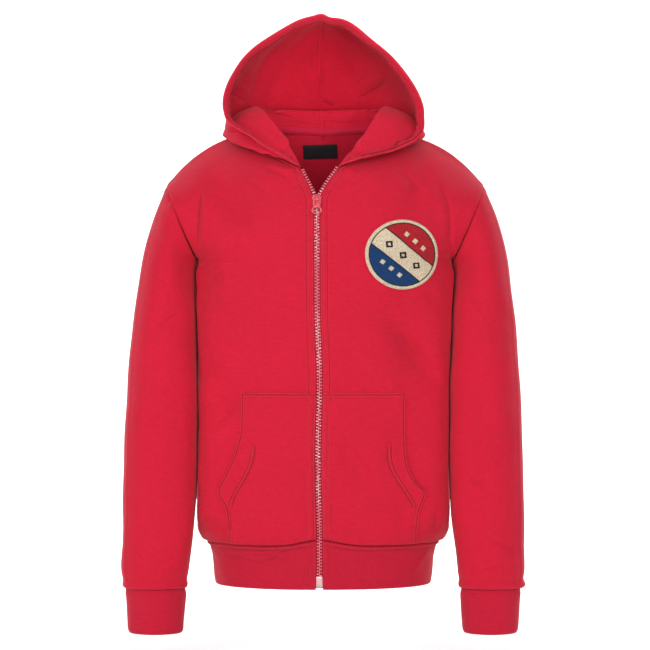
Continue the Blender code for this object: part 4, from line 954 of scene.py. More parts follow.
class Graph:
    """A material's nodes, and the calls that the finishes build them with."""

    def __init__(self, name: str) -> None:
        """A new material with its Principled shader."""
        self.material = bpy.data.materials.new(name)
        self.material.use_nodes = True
        self.tree = self.material.node_tree
        self.shader = self.tree.nodes["Principled BSDF"]

    def node(self, kind: str, settings: dict, inputs: dict, output: Any = 0) -> Signal:
        """Any node: its type, its settings, and values or links for its sockets.

        Args:
            kind: the node's type.
            settings: attributes that are set first.
            inputs: values or signals by socket name or number.
            output: the output that the signal reads.

        Returns:
            The node's output.
        """
        made = self.tree.nodes.new(kind)
        for key, value in settings.items():
            setattr(made, key, value)
        for key, value in inputs.items():
            self.feed(made.inputs[key], value)
        return Signal(self, made.outputs[output])

    def feed(self, socket: bpy.types.NodeSocket, value: Any) -> None:
        """Set a socket, where three numbers are an opaque colour, or link a signal to it."""
        if isinstance(value, Signal):
            self.tree.links.new(value.socket, socket)
        elif isinstance(value, tuple) and len(value) == 3:
            socket.default_value = (*value, 1.0)
        else:
            socket.default_value = value

    def lengths(self) -> tuple[Signal, Signal]:
        """The cloth's own u and v, in millimetres."""
        uv = self.node("ShaderNodeUVMap", {"uv_map": "cloth"}, {})
        parts = self.node("ShaderNodeSeparateXYZ", {}, {0: uv})
        return parts * (1 / MM), Signal(self, parts.socket.node.outputs[1]) * (1 / MM)

    def hollow(self, dark: Signal, base: Signal, pale: Signal) -> Signal:
        """A colour with painted shade in the cloth's grooves and a painted highlight on its ridges.
        """
        deep = self.node("ShaderNodeAttribute", {"attribute_name": "hollow"}, {}, "Fac")
        base = self.mix(deep.step(0.05, 0.85), base, dark)
        return self.mix((deep * -1.0).step(0.25, 0.95), base, pale)

    def place(self) -> Signal:
        """Object coordinates."""
        return self.node("ShaderNodeTexCoord", {}, {}, "Object")

    def noise(self, grain: float, detail: float = 2.0) -> Signal:
        """Noise whose grains are about that many millimetres across."""
        return self.node("ShaderNodeTexNoise", {},
                         {"Vector": self.place(), "Scale": 600.0 / grain, "Detail": detail})

    def streaks(self, u: Signal, v: Signal, long: float, short: float) -> Signal:
        """Noise drawn out along u: grains of long by short millimetres."""
        at = self.node("ShaderNodeCombineXYZ", {}, {0: u * (1 / long), 1: v * (1 / short)})
        return self.node("ShaderNodeTexNoise", {}, {"Vector": at, "Scale": 0.6, "Detail": 2.0})

    def mix(self, share: Any, low: Any, high: Any, blend: str = "MIX") -> Signal:
        """Two colours mixed by share."""
        return self.node("ShaderNodeMix", {"data_type": "RGBA", "blend_type": blend},
                         {0: share, 6: low, 7: high}, 2)

    def bump(self, height: Signal, deep: float) -> None:
        """Feed the shader's normal from a height of 0 to 1 that is deep millimetres at most."""
        made = self.node("ShaderNodeBump", {}, {"Height": height, "Distance": deep * MM,
                                                "Strength": 1.0})
        self.feed(self.shader.inputs["Normal"], made)

    def finish(self, colour: Any, rough: Any, **constants: Any) -> bpy.types.Material:
        """Feed colour and roughness, and set the constants, whose names use _ for a space.

        Args:
            colour: base colour or its signal.
            rough: roughness or its signal.
            constants: values of other sockets of the shader.

        Returns:
            The material.
        """
        self.feed(self.shader.inputs["Base Color"], colour)
        self.feed(self.shader.inputs["Roughness"], rough)
        for key, value in constants.items():
            self.shader.inputs[key.replace("_", " ")].default_value = value
        return self.material


@dataclass(frozen=True)
class KnitFinish:
    """Brushed jersey, or rib where ribs is not zero."""

    name: str = "red-fleece"
    colour: tuple = (0.650, 0.0022, 0.0310)
    shade: tuple = (0.545, 0.0014, 0.0240)
    wale: float = 1.15
    course: float = 0.95
    ribs: float = 0.0
    rib_deep: float = 0.35
    nap: float = 0.16
    # tint of the painted shade in grooves, then share and colour of the painted highlight on ridges
    groove_shade_tint: tuple = (0.42, 0.25, 0.40)
    ridge_highlight_share: float = 0.14
    ridge_highlight_colour: tuple = (0.90, 0.12, 0.17)

    def material(self) -> bpy.types.Material:
        """Loops in wales and courses under a short nap; the dye runs in faint cross streaks.

        Formula: loop height is the product of a wave across the wales and one along the
        courses that bends with the wale, which draws the knit's small Vs.
        """
        g = Graph(self.name)
        u, v = g.lengths()
        across = (u * (np.pi / self.wale)).wave().size()
        along = (v * (2 * np.pi / self.course) + across * 2.6).wave() * 0.5 + 0.5
        loops = across * 0.55 + across * along * 0.45
        fuzz = g.noise(0.55, 3.0)
        tone = (g.streaks(u, v, 7.0, 1.1) * 0.50 + g.noise(2.4, 2.0) * 0.22
                + g.noise(34.0, 2.0) * 0.16 + fuzz * 0.12)
        base = g.mix(tone.step(0.34, 0.66), self.shade, self.colour)
        height, deep = loops * 0.45 + fuzz * 0.55, self.nap
        if self.ribs:
            rib = (u * (2 * np.pi / self.ribs)).wave() * 0.5 + 0.5
            # painted shade: the valleys between the ribs are mixed a little towards the darker tone
            base = g.mix(rib.step(0.0, 0.6) * 0.3 + 0.7, self.shade, base)
            deep = self.nap + self.rib_deep
            height = height * (self.nap / deep) + rib * (self.rib_deep / deep)
        # painted shade darkens the grooves and a painted highlight pales the ridges, by how deep
        # each point lies in a groove
        base = g.hollow(g.mix(1.0, base, self.groove_shade_tint, "MULTIPLY"), base,
                        g.mix(self.ridge_highlight_share, base, self.ridge_highlight_colour))
        g.bump(height, deep)
        return g.finish(base, 0.9, Specular_IOR_Level=0.42, Sheen_Weight=0.12, Sheen_Roughness=0.5,
                        Sheen_Tint=(1.0, 0.55, 0.6, 1.0))


@dataclass(frozen=True)
class WovenFinish:
    """Plain woven tape or label."""

    name: str = "red-tape"
    colour: tuple = (0.68, 0.008, 0.048)
    shade: tuple = (0.50, 0.004, 0.034)
    pitch: float = 0.55
    rough: float = 0.75
    deep: float = 0.12
    sheen: float = 0.15

    def material(self) -> bpy.types.Material:
        """Over and under threads: the larger of two waves, out of step from thread to thread."""
        g = Graph(self.name)
        u, v = g.lengths()
        warp = (u * (np.pi / self.pitch)).wave() * (v * (np.pi / self.pitch)).wave()
        height = warp * 0.5 + 0.5
        grain = g.noise(3.0, 2.0)
        # painted shade where the threads dip under each other, mixed with a random grain
        base = g.mix(height * 0.55 + grain * 0.45, self.shade, self.colour)
        g.bump(height, self.deep)
        return g.finish(base, self.rough, Specular_IOR_Level=0.3, Sheen_Weight=self.sheen,
                        Sheen_Roughness=0.4)


@dataclass(frozen=True)
class ThreadFinish:
    """Sewing thread with a slight gloss."""

    name: str = "red-thread"
    colour: tuple = (0.62, 0.005, 0.036)
    shade: tuple = (0.42, 0.002, 0.022)

    def material(self) -> bpy.types.Material:
        """Two plies of slightly different tone by a fine noise."""
        g = Graph(self.name)
        ply = g.noise(0.5, 1.0)
        g.bump(ply, 0.05)
        return g.finish(g.mix(ply, self.shade, self.colour), 0.5, Specular_IOR_Level=0.4,
                        Sheen_Weight=0.1)


@dataclass(frozen=True)
class MetalFinish:
    """Painted or bare metal of the zip."""

    name: str = "red-paint"
    colour: tuple = (0.72, 0.050, 0.075)
    # the second colour is that of the painted glints, pale flecks that stand for highlights; the
    # last field is how strongly they show
    wear_and_glint: tuple = (0.95, 0.50, 0.52)
    rough: float = 0.30
    metal: float = 0.25
    coat: float = 0.4
    glint_share: float = 0.25

    def material(self) -> bpy.types.Material:
        """Paint with a faint mottle, and painted glints: small pale flecks, gathered in broad
        patches.
        """
        g = Graph(self.name)
        # painted glints: fine pale flecks, thinned by a broad noise into patches, stand in for
        # highlights
        glint_flecks = (g.noise(1.1, 3.0).step(0.46, 0.60)
                  * (g.noise(48.0, 1.0).step(0.42, 0.56) * 0.8 + 0.2))
        mottle = g.noise(1.6, 2.0)
        g.bump(mottle, 0.03)
        colour = g.mix(glint_flecks * self.glint_share, self.colour, self.wear_and_glint)
        return g.finish(colour, mottle * 0.12 + self.rough, Metallic=self.metal,
                        Coat_Weight=self.coat, Coat_Roughness=0.15)


@dataclass(frozen=True)
class PatchFinish:
    """Felt patch: cream rim, dark ring, a slanted sash with diamonds, and dots beside it."""

    name: str = "patch-felt"
    cream: tuple = (0.74, 0.62, 0.44)
    navy: tuple = (0.010, 0.050, 0.165)
    red: tuple = (0.46, 0.016, 0.026)
    dark: tuple = (0.012, 0.013, 0.018)
    radius: float = 44.0
    ring: float = 39.4
    ring_wide: float = 1.0
    sash: float = 13.0
    line: float = 1.1
    soft: float = 0.35
    diamond: float = 6.0
    core: float = 0.45
    step: float = 21.0
    dot: float = 2.9
    dots_out: float = 22.5
    dots_step: float = 13.0

    def within(self, distance: Signal, limit: float) -> Signal:
        """1 where a distance is inside a limit, with a soft edge."""
        return distance.step(limit, limit - 2 * self.soft)

    def material(self) -> bpy.types.Material:
        """Fields by the distance across the sash, marks by sums of two distances."""
        g = Graph(self.name)
        u, v = g.lengths()
        rag = g.noise(1.2, 3.0) * 0.9 - 0.45
        u, v = u - self.radius + rag, v - self.radius - rag
        out = (u * u + v * v).root()
        across, along = (u * 0.64 + v * 0.77), (u * 0.77 - v * 0.64)
        base = g.mix((across - self.sash).step(-self.soft, self.soft), self.cream, self.red)
        base = g.mix((across * -1.0 - self.sash).step(-self.soft, self.soft), base, self.navy)
        edge = (across.size() - self.sash).size()
        base = g.mix(self.within(edge, self.line), base, self.dark)
        for k in (-1, 0, 1):
            reach = across.size() + (along - k * self.step).size()
            base = g.mix(self.within(reach, self.diamond), base, self.dark)
            base = g.mix(self.within(reach, self.diamond * self.core), base, self.cream)
            beside = (across.size() - self.dots_out).size()
            beside = beside.most((along - k * self.dots_step).size())
            base = g.mix(self.within(beside, self.dot), base, self.cream)
        base = g.mix(out.step(self.ring, self.ring + self.soft), base, self.cream)
        ring = (out - self.ring).size()
        base = g.mix(self.within(ring, self.ring_wide), base, self.dark)
        fuzz = g.noise(0.8, 4.0)
        wear_and_glint = g.mix(1.0, base, (0.62, 0.60, 0.60), "MULTIPLY")
        g.bump(fuzz, 0.4)
        return g.finish(g.mix(fuzz.step(0.35, 0.62), wear_and_glint, base), 0.95, Specular_IOR_Level=0.2,
                        Sheen_Weight=0.12, Sheen_Roughness=0.5)


@dataclass(frozen=True)
class StageFinish:
    """Pale matt paper of the floor and backdrop."""

    name: str = "pale-paper"
    colour: tuple = (0.94, 0.94, 0.94)

    def material(self) -> bpy.types.Material:
        """Plain paper, a little uneven."""
        g = Graph(self.name)
        tone = g.mix(g.noise(900.0, 1.0), self.colour, (0.93, 0.93, 0.935))
        return g.finish(tone, 0.9, Specular_IOR_Level=0.1)


@dataclass
class Wardrobe:
    """The finishes, each made once."""

    fleece: KnitFinish = KnitFinish()
    rib: KnitFinish = KnitFinish("red-rib", (0.575, 0.0022, 0.0300), (0.490, 0.0014, 0.0240),
                                 0.9, 0.8, 2.4, 0.10, 0.12)
    tape: WovenFinish = WovenFinish()
    label: WovenFinish = WovenFinish("black-label", (0.016, 0.015, 0.018), (0.006, 0.006, 0.007),
                                     0.42, 0.55, 0.08, 0.05)
    thread: ThreadFinish = ThreadFinish()
    felt: PatchFinish = PatchFinish()
    paint: MetalFinish = MetalFinish()
    # the pale second colours of the teeth and the box are painted glints
    teeth: MetalFinish = MetalFinish("pink-teeth", (0.76, 0.13, 0.17), (1.0, 0.86, 0.86),
                                     0.34, 0.35, 0.3, 0.85)
    box: MetalFinish = MetalFinish("pale-metal", (0.80, 0.42, 0.43), (0.98, 0.90, 0.90),
                                   0.28, 0.55, 0.2, 0.6)
    stage: StageFinish = StageFinish()
    made: dict = field(default_factory=dict)

    def get(self, name: str) -> bpy.types.Material:
        """The material of a finish, by its field's name."""
        if name not in self.made:
            self.made[name] = getattr(self, name).material()
        return self.made[name]

    def dress(self, node: str, kind: str, made: tuple, finish: str,
              body: str = GARMENT) -> bpy.types.Object:
        """Make the piece that stands for a node.

        Args:
            node: the node's name, with which the piece's name begins.
            kind: the rest of the piece's name.
            made: points, quads, and lengths or None.
            finish: the finish's name.
            body: the body that carries it.

        Returns:
            The piece.
        """
        points, faces, lengths = made
        piece = finished(f"{node}.{kind}", points, faces, self.get(finish), lengths, body)
        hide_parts(node)
        return piece


# ---- sewing
@dataclass
class Sewing:
    """The rows of stitches of one piece: short, slightly sunk capsules laid on the cloth."""

    name: str
    pitch: float = 3.1
    length: float = 2.3
    radius: float = 0.34
    lift: float = 0.04
    flat: float = 0.8
    rows: list = field(default_factory=list)

    def add(self, line: Array, normals: Array) -> None:
        """Sew one row.

        Formula: at even steps of arc length a capsule of four hexagons lies along the line,
        and its ends sink into the cloth.

        Args:
            line: points of the line.
            normals: the cloth's outward normals there.
        """
        travel = arc_length(line)
        at = np.arange(self.pitch / 2, travel[-1] - self.pitch / 2, self.pitch)
        centre = read_line(at, travel, line)
        ahead = unit(read_line(at + 0.5, travel, line) - centre)
        side = unit(np.cross(ahead, read_line(at, travel, normals)))
        place = np.array([-1.0, -0.62, 0.62, 1.0])
        wide = np.array([0.45, 1.0, 1.0, 0.45])[:, None] * self.radius
        sink = np.array([-0.30, 0.0, 0.0, -0.30])[:, None]
        turn = 2 * np.pi * np.arange(6) / 6
        self.rows.append(ringed(
            centre, (ahead, (place * self.length / 2)[:, None]), (side, wide * np.cos(turn)),
            (np.cross(side, ahead), wide * np.sin(turn) * self.flat + sink + self.lift)))

    def make(self, wardrobe: Wardrobe) -> bpy.types.Object:
        """All rows as one object."""
        piece = finished(self.name, *shells(np.concatenate(self.rows)), wardrobe.get("thread"))
        return piece


# ---- the body
@dataclass
class BodyHalf:
    """One half of the front or of the back, from the hem seam to the shoulder seam."""

    face: Face
    side: Side
    pitch: float = 2.7
    thick: float = 1.9
    seam: float = 1.6
    # cloth on one row of the yoke, and across a half, and points that a row is measured with
    yoke_row: float = 17.0
    half_wide: float = 125.0
    dense: int = 300
    # depth of the fullness, how soon it rises from the side seam, where it ebbs, and how slowly
    fuller: float = 27.0
    full_rise: float = 17.0
    full_ebb: tuple = (32.0, 90.0)
    surface: Surface = field(init=False)
    rows: Array = field(init=False)
    parts: Array = field(init=False)

    def __post_init__(self) -> None:
        """Cut, settle and press the half.

        Formula: the rows are read from the sections; on each the columns keep set distances
        from the zip and from the side seam, so that sewn lines run along them.
        """
        pattern = PATTERN
        body = spread(pattern.yoke_foot - pattern.hem_seam, SEAM_SIDE, (0.0,), self.pitch)[0]
        top = np.array(SEAM_SIDE) / self.yoke_row
        yoke = spread(pattern.yoke_rows, top, (0.0,), self.pitch / self.yoke_row)[0]
        yoke = pattern.yoke_rows - yoke[::-1]
        self.rows = np.concatenate([pattern.row_at(pattern.hem_seam + body)[:-1], yoke])
        self.rows[np.argmin(np.abs(self.rows - pattern.neck_row))] = pattern.neck_row
        self.rows[0] += pattern.seam_gap / 2 / pattern.row_high
        self.rows[-1] -= 0.01
        dense = np.linspace(0, 1, self.dense)
        places = np.meshgrid(self.rows, dense, indexing="ij")
        travel = Surface(pattern.point(self.face, *places)).travel(1)
        first = ZIP_SIDE if self.face is Face.FRONT else SEAM_SIDE
        at = spread(travel[:, -1], first, SEAM_SIDE, self.pitch)
        self.parts = along_rows(at, travel, np.broadcast_to(dense, travel.shape).copy())
        self.parts[:, -1] -= pattern.seam_gap / 2 / self.half_wide
        row = np.broadcast_to(self.rows[:, None], self.parts.shape)
        points = pattern.point(self.face, row, self.parts) * [self.side.value, 1.0, 1.0]
        if self.face is Face.FRONT:
            # cloth hangs fuller beside the arm than the even section
            beside = travel[:, -1:] - at
            low = fade((row + 13.1) / 1.5)
            ebb, slow = self.full_ebb
            full = fade(beside / self.full_rise) * (1 - fade((beside - ebb) / slow))
            points[..., 1] -= self.fuller * full * (1 - fade((row + 3.6) / 6)) * low
            # and follows the sleeve's inner edge
            room = read_table(points[..., 2], ARM_ROOM)
            sideways = (bell(beside, 26.0, 9.0, 1.0) * room[..., 1]
                        - fade(beside / 12) * (1 - fade((beside - 16) / 16)) * room[..., 0])
            points[..., 0] += sideways * self.side.value
        outward = self.side.value * (1.0 if self.face is Face.FRONT else -1.0)
        even = Surface(pattern.settle(points, "body"), outward)
        self.surface = even.raised(self.relief(even))

    def relief(self, cloth: Surface) -> Array:
        """Heights of seams, the sewn edge beside the zip and the cloth's own unevenness.

        Formula: grooves and ridges are bells of the distance from the piece's edges, and
        puckers are fine waves along a seam that die away from it.
        """
        inner, side, low, high = cloth.edges()
        x, z = cloth.points[..., 0], cloth.points[..., 2]
        front = self.face is Face.FRONT
        seed = 0.7 if self.side is Side.LEFT else 2.1
        calm = fade(side / 30) * fade(low / 30) * fade(high / 20)
        total = 0.8 * uneven(x, z, 74.0, 1.3 if front else 4.2) * calm
        total += creased(f"{self.face.value}_{self.side.tag}", x, z)
        arm = fade((self.rows[:, None] + 0.4) / 0.8)
        for distance, deep, pucker, along in ((side, 0.9 - 0.3 * arm, 0.25, z), (high, 0.9, 0.2, x),
                                              (low, 0.8, 0.35, x)):
            total = total - deep * bell(distance, 0.0, self.seam, 1.0)
            total += bell(distance, 5.5, 4.0, 0.5)
            total += pucker * uneven(along, distance * 0.4, 12.0, seed) * np.exp(-distance / 10)
        if not front:
            # the seam allowances at the side, under the arm
            total += bell(side, 13.0, 6.0, 3.9) * np.maximum(
                fade(1.3 - 1.3 * ((z + 200) / 105) ** 2) * fade((-151 - z) / 14),
                fade(1.3 - 1.3 * ((z + 436) / 24) ** 2))
        # the body blouses over the hem seam
        total += bell(low, 6.0, 5.0, 0.9)
        beside = fade((PATTERN.neck_row - self.rows[:, None]) / 0.2)
        neck = 1 - beside
        total += neck * bell(inner, 0.0, 1.6, -1.0)
        if front:
            total += beside * (bell(inner, 3.0, 2.0, 0.4) - rounding(inner, 1.2))
            for at in ZIP_STITCHES:
                total += beside * bell(inner, at, 0.7, -0.75)
            ripple = uneven(z, inner * 0.5, 11.0, 1.9 + seed)
            total += beside * 0.3 * ripple * np.exp(-inner / 13) * fade(inner / 3)
            # the seam allowances of the neck fold over by the top of the zip
            bulk = neck * np.exp(-((self.rows[:, None] - 5.6) / 1.3) ** 2)
            total += bulk * (bell(inner, 3.4, 1.3, 1.3) + bell(inner, 6.2, 0.9, -0.9)
                                    + bell(inner, 8.6, 1.6, 0.9))
        return total

    def read(self, row: Array, part: Array) -> tuple[Array, Array]:
        """Points and normals of the finished outer surface at rows and parts.

        Args:
            row: rows of the body.
            part: parts of those rows.

        Returns:
            Points and unit normals.
        """
        place = np.interp(row, self.rows, np.arange(len(self.rows)))
        low = np.clip(place.astype(int), 0, len(self.rows) - 2)
        shift = 2.0 * np.arange(len(self.rows))[:, None]
        known = (self.parts + shift).ravel()
        columns = np.tile(np.arange(self.parts.shape[1], dtype=float), len(self.rows))
        below, above = (np.interp(part + 2.0 * k, known, columns) for k in (low, low + 1))
        return self.surface.read(place, below + (above - below) * (place - low))

    def line(self, column: int, first: float, last: float) -> tuple[Array, Array]:
        """Points and normals of one column between two rows."""
        chosen = (self.rows >= first) & (self.rows <= last)
        return self.surface.points[chosen, column], self.surface.normals[chosen, column]


@dataclass
class Fronts:
    """The two fronts, with the topstitching beside the zip."""

    cut: tuple = (0.262, 0.560)
    area: float = 0.118
    halves: dict = field(default_factory=dict)

    def build(self, wardrobe: Wardrobe) -> None:
        """Make both fronts."""
        for side in Side:
            half = self.halves[side] = BodyHalf(Face.FRONT, side)
            name = f"front_{side.tag}"
            piece = wardrobe.dress(name, "cloth", Cloth.of(half.surface).wall(half.thick), "fleece")
            sewing = Sewing(f"{name}.stitches")
            for distance in ZIP_STITCHES:
                column = ZIP_SIDE.index(distance)
                sewing.add(*half.line(column, half.rows[0], PATTERN.neck_row - 0.1))
            stitches = sewing.make(wardrobe)


@dataclass
class Back:
    """The back, cut in one piece."""

    cut: tuple = (0.500, 0.600)
    area: float = 0.255
    pitch: float = 3.1
    thick: float = 1.9

    def build(self, wardrobe: Wardrobe) -> None:
        """Two mirrored halves that share the middle line up to the neck edge."""
        halves = [BodyHalf(Face.BACK, side, pitch=self.pitch) for side in Side]
        left, right = (Cloth.of(h.surface) for h in halves)
        columns = halves[0].surface.points.shape[1]
        shared = np.arange(int(np.sum(halves[0].rows <= PATTERN.neck_row))) * columns
        left.points[shared] = (left.points[shared] + right.points[shared]) / 2
        made = left.joined(right, shared, shared).wall(self.thick)
        piece = wardrobe.dress("back", "cloth", made, "fleece")


@dataclass
class HemRib:
    """The doubled rib hem, one band from zip to zip."""

    cut: tuple = (0.800, 0.062)
    pitch: float = 2.4
    row_pitch: float = 1.8
    thick: float = 2.3

    def surface(self) -> Surface:
        """The band's outer surface.

        Formula: each height has a front and a back arc for one side, joined at the side seam
        and mirrored; the heights are interpolated without overshoot.
        """
        low, top = HEM[-1][0], HEM[0][0] - PATTERN.seam_gap
        height = low + spread(top - low, SEAM_SIDE, SEAM_SIDE, self.row_pitch)[0]
        wide, zip_deep, front, back = read_table(height, HEM).T
        dense = np.linspace(0, 1, 300)
        lead = PATTERN.lead
        halves = []
        for start, middle, deep in ((PATTERN.zip_half, -zip_deep, -front), (0.0, back, back)):
            corners = ((start, middle), (lead * wide, deep), (wide, lead * deep), (wide, 0.0))
            net = np.stack([np.stack(np.broadcast_arrays(a, b, height), axis=-1)
                            for a, b in corners], axis=1)
            halves.append(arc(net[:, None], dense[None]))
        half = np.concatenate([halves[0], halves[1][:, -2::-1]], axis=1)
        grid = np.concatenate([half, half[:, -2::-1] * [-1.0, 1.0, 1.0]], axis=1)
        travel = Surface(grid).travel(1)
        grid = along_rows(spread(travel[:, -1], ZIP_SIDE, ZIP_SIDE, self.pitch), travel, grid)
        even = Surface(PATTERN.settle(grid, "body"), 1.0)
        return even.raised(self.relief(even))

    def relief(self, cloth: Surface) -> Array:
        """The rib's folded lower edge, the drawn-in seam above and the shallow folds below it."""
        start, end, low, high = cloth.edges()
        x, y, z = (cloth.points[..., k] for k in range(3))
        along = cloth.travel(1)
        total = -rounding(low, 2.4) * 0.9 + bell(high, 0.0, 1.4, -1.2)
        total += bell(high, 3.2, 1.5, 1.1) + bell(high, 7.0, 2.4, -0.6)
        total += 0.6 * uneven(along, high * 0.6, 34.0, 2.6) * fade(low / 12)
        total += 0.35 * uneven(along, high * 0.3, 10.0, 0.8) * np.exp(-high / 12)
        total += creased("hem_front", x, z) * fade(-y / 30)
        for edge in (start, end):
            total = total - rounding(edge, 1.2)
            for at in ZIP_STITCHES:
                total += bell(edge, at, 0.62, -0.5)
        return total

    def build(self, wardrobe: Wardrobe) -> None:
        """Make the hem and its stitches by the zip."""
        surface = self.surface()
        piece = wardrobe.dress("hem_rib", "cloth", Cloth.of(surface).wall(self.thick), "rib")
        sewing = Sewing("hem_rib.stitches")
        for distance in ZIP_STITCHES:
            for column in (ZIP_SIDE.index(distance), -1 - ZIP_SIDE.index(distance)):
                sewing.add(surface.points[3:-3, column], surface.normals[3:-3, column])
        stitches = sewing.make(wardrobe)


# ---- sleeves and cuffs
@dataclass
class Sleeves:
    """The sleeves and their rib cuffs."""

    cut: tuple = (0.400, 0.560)
    area: float = 0.145
    cuff_cut: tuple = (0.190, 0.070)
    pitch: float = 2.6
    columns: int = 116
    blend: float = 32.0
    thick: float = 1.9
    rib_thick: float = 2.3
    arm_radius: float = 48.0
    wrist_radius: float = 34.0
    press: float = 0.50
    fuller: float = 8.0

    @staticmethod
    def ring(inner_x: Array, inner_z: Array, outer_x: Array, outer_z: Array, deep: Array,
             forward: Array, turn: Array) -> Array:
        """Rings of an arm: ellipses between inner and outer points, tilted with them."""
        middle = np.stack([(inner_x + outer_x) / 2, -forward, (inner_z + outer_z) / 2], axis=-1)
        up = np.stack([(outer_x - inner_x) / 2, 0 * forward, (outer_z - inner_z) / 2], axis=-1)
        point = middle[:, None] - np.cos(turn)[None, :, None] * up[:, None]
        point[..., 1] -= np.sin(turn)[None, :] * deep[:, None]
        return point

    def turns(self) -> Array:
        """Angles of a ring's columns, from the inner point round the front."""
        return 2 * np.pi * np.arange(self.columns) / self.columns

    def surface(self, side: Side) -> Surface:
        """A sleeve's outer surface, from the armhole loop to the cuff."""
        table = np.array(SLEEVE)
        travel = arc_length((table[:, :2] + table[:, 2:4]) / 2)
        at = spread(travel[-1] - PATTERN.seam_gap, SEAM_SIDE, SEAM_SIDE, self.pitch)[0]
        turn = self.turns()
        rings = self.ring(*flow(at, travel, table).T, turn)
        rows = PATTERN.yoke_rows * np.where(turn <= np.pi, turn, 2 * np.pi - turn) / np.pi
        loop = np.where((turn <= np.pi)[:, None], PATTERN.armhole(rows, Face.FRONT),
                        PATTERN.armhole(rows, Face.BACK))
        rings += (loop - rings[0]) * (1 - fade(at / self.blend))[:, None, None]
        # the sleeve is pressed flat against the body, so its inner front is fuller
        full = fade(turn / 0.35) * (1 - fade((turn - 0.35) / 1.0)) * (turn < np.pi)
        rings[..., 1] -= self.fuller * full * fade((at - 60) / 40)[:, None] * (
            1 - fade((at - travel[-1] + 60) / 60))[:, None]
        points = PATTERN.settle(rings * [side.value, 1.0, 1.0], "sleeve")
        even = Surface(points, -side.value, ring=True)
        return even.raised(self.relief(even, side))

    def relief(self, cloth: Surface, side: Side) -> Array:
        """The armhole seam, soft unevenness, and the end that rolls over the cuff's seam."""
        up = cloth.travel(0)
        down = up[-1:] - up
        x, z = cloth.points[..., 0], cloth.points[..., 2]
        turn = self.turns()
        around = self.arm_radius * np.stack([np.cos(turn), np.sin(turn)])
        seed = 0.4 if side is Side.LEFT else 3.3
        total = bell(up, 0.0, 1.5, -0.6) + bell(up, 5.5, 4.0, 0.6)
        total += 0.30 * uneven(around[0], around[1] + up * 0.15, 12.0, seed) * np.exp(-up / 9)
        total += 0.9 * uneven(around[0] + up * 0.2, around[1] + up * 0.9, 66.0, seed) * (
            fade(up / 40) * fade(down / 30))
        total += creased(f"sleeve_{side.tag}", x, z) * fade(2 * np.sin(turn))
        # the sleeve was pressed flat, with its fold a little inside the outline
        pressed = bell(self.arm_radius * (turn - np.pi + self.press), 0.0, 2.6, 0.9)
        total += pressed * fade(up / 12) * fade(down / 12)
        gather = uneven(around[0], around[1] + up * 0.1, 19.0, seed + 1.0)
        total += 0.8 * gather * np.exp(-((down - 8) / 14) ** 2) * fade(down / 3)
        total += bell(down, 4.5, 4.0, 1.3) + bell(down, 12.0, 5.0, -0.5)
        total = total - rounding(down, 2.2)
        if side is Side.LEFT:
            # a fold of the rolled end stands out on the outer side
            total += bell(down, 5.0, 5.0, 2.6) * np.exp(-((turn - np.pi) / 0.5) ** 2)
        return total

    def cuff(self, side: Side) -> Surface:
        """A cuff's outer surface, folded over at its end."""
        low, top = CUFF[-1][0], CUFF[0][0] - PATTERN.seam_gap
        height = top - spread(top - low, SEAM_SIDE, SEAM_SIDE, self.pitch)[0]
        inner, outer, deep, forward = read_table(height, CUFF).T
        turn = self.turns()
        rings = self.ring(inner, height, outer, height, deep, forward, turn)
        points = PATTERN.settle(rings * [side.value, 1.0, 1.0], "sleeve")
        even = Surface(points, -side.value, ring=True)
        up = even.travel(0)
        down = up[-1:] - up
        around = self.wrist_radius * np.stack([np.cos(turn), np.sin(turn)])
        total = -0.8 * rounding(down, 2.4) + bell(up, 0.0, 4.5, -1.9)
        total += 0.5 * uneven(around[0], around[1] + up * 0.4, 26.0, side.value) * fade(down / 8)
        return even.raised(total)

    def build(self, wardrobe: Wardrobe) -> None:
        """Make both sleeves and both cuffs."""
        for side in Side:
            sleeve = Cloth.of(self.surface(side)).wall(self.thick)
            piece = wardrobe.dress(f"sleeve_{side.tag}", "cloth", sleeve, "fleece")
            cuff = Cloth.of(self.cuff(side)).wall(self.rib_thick)
            piece = wardrobe.dress(f"cuff_{side.tag}", "cloth", cuff, "rib")


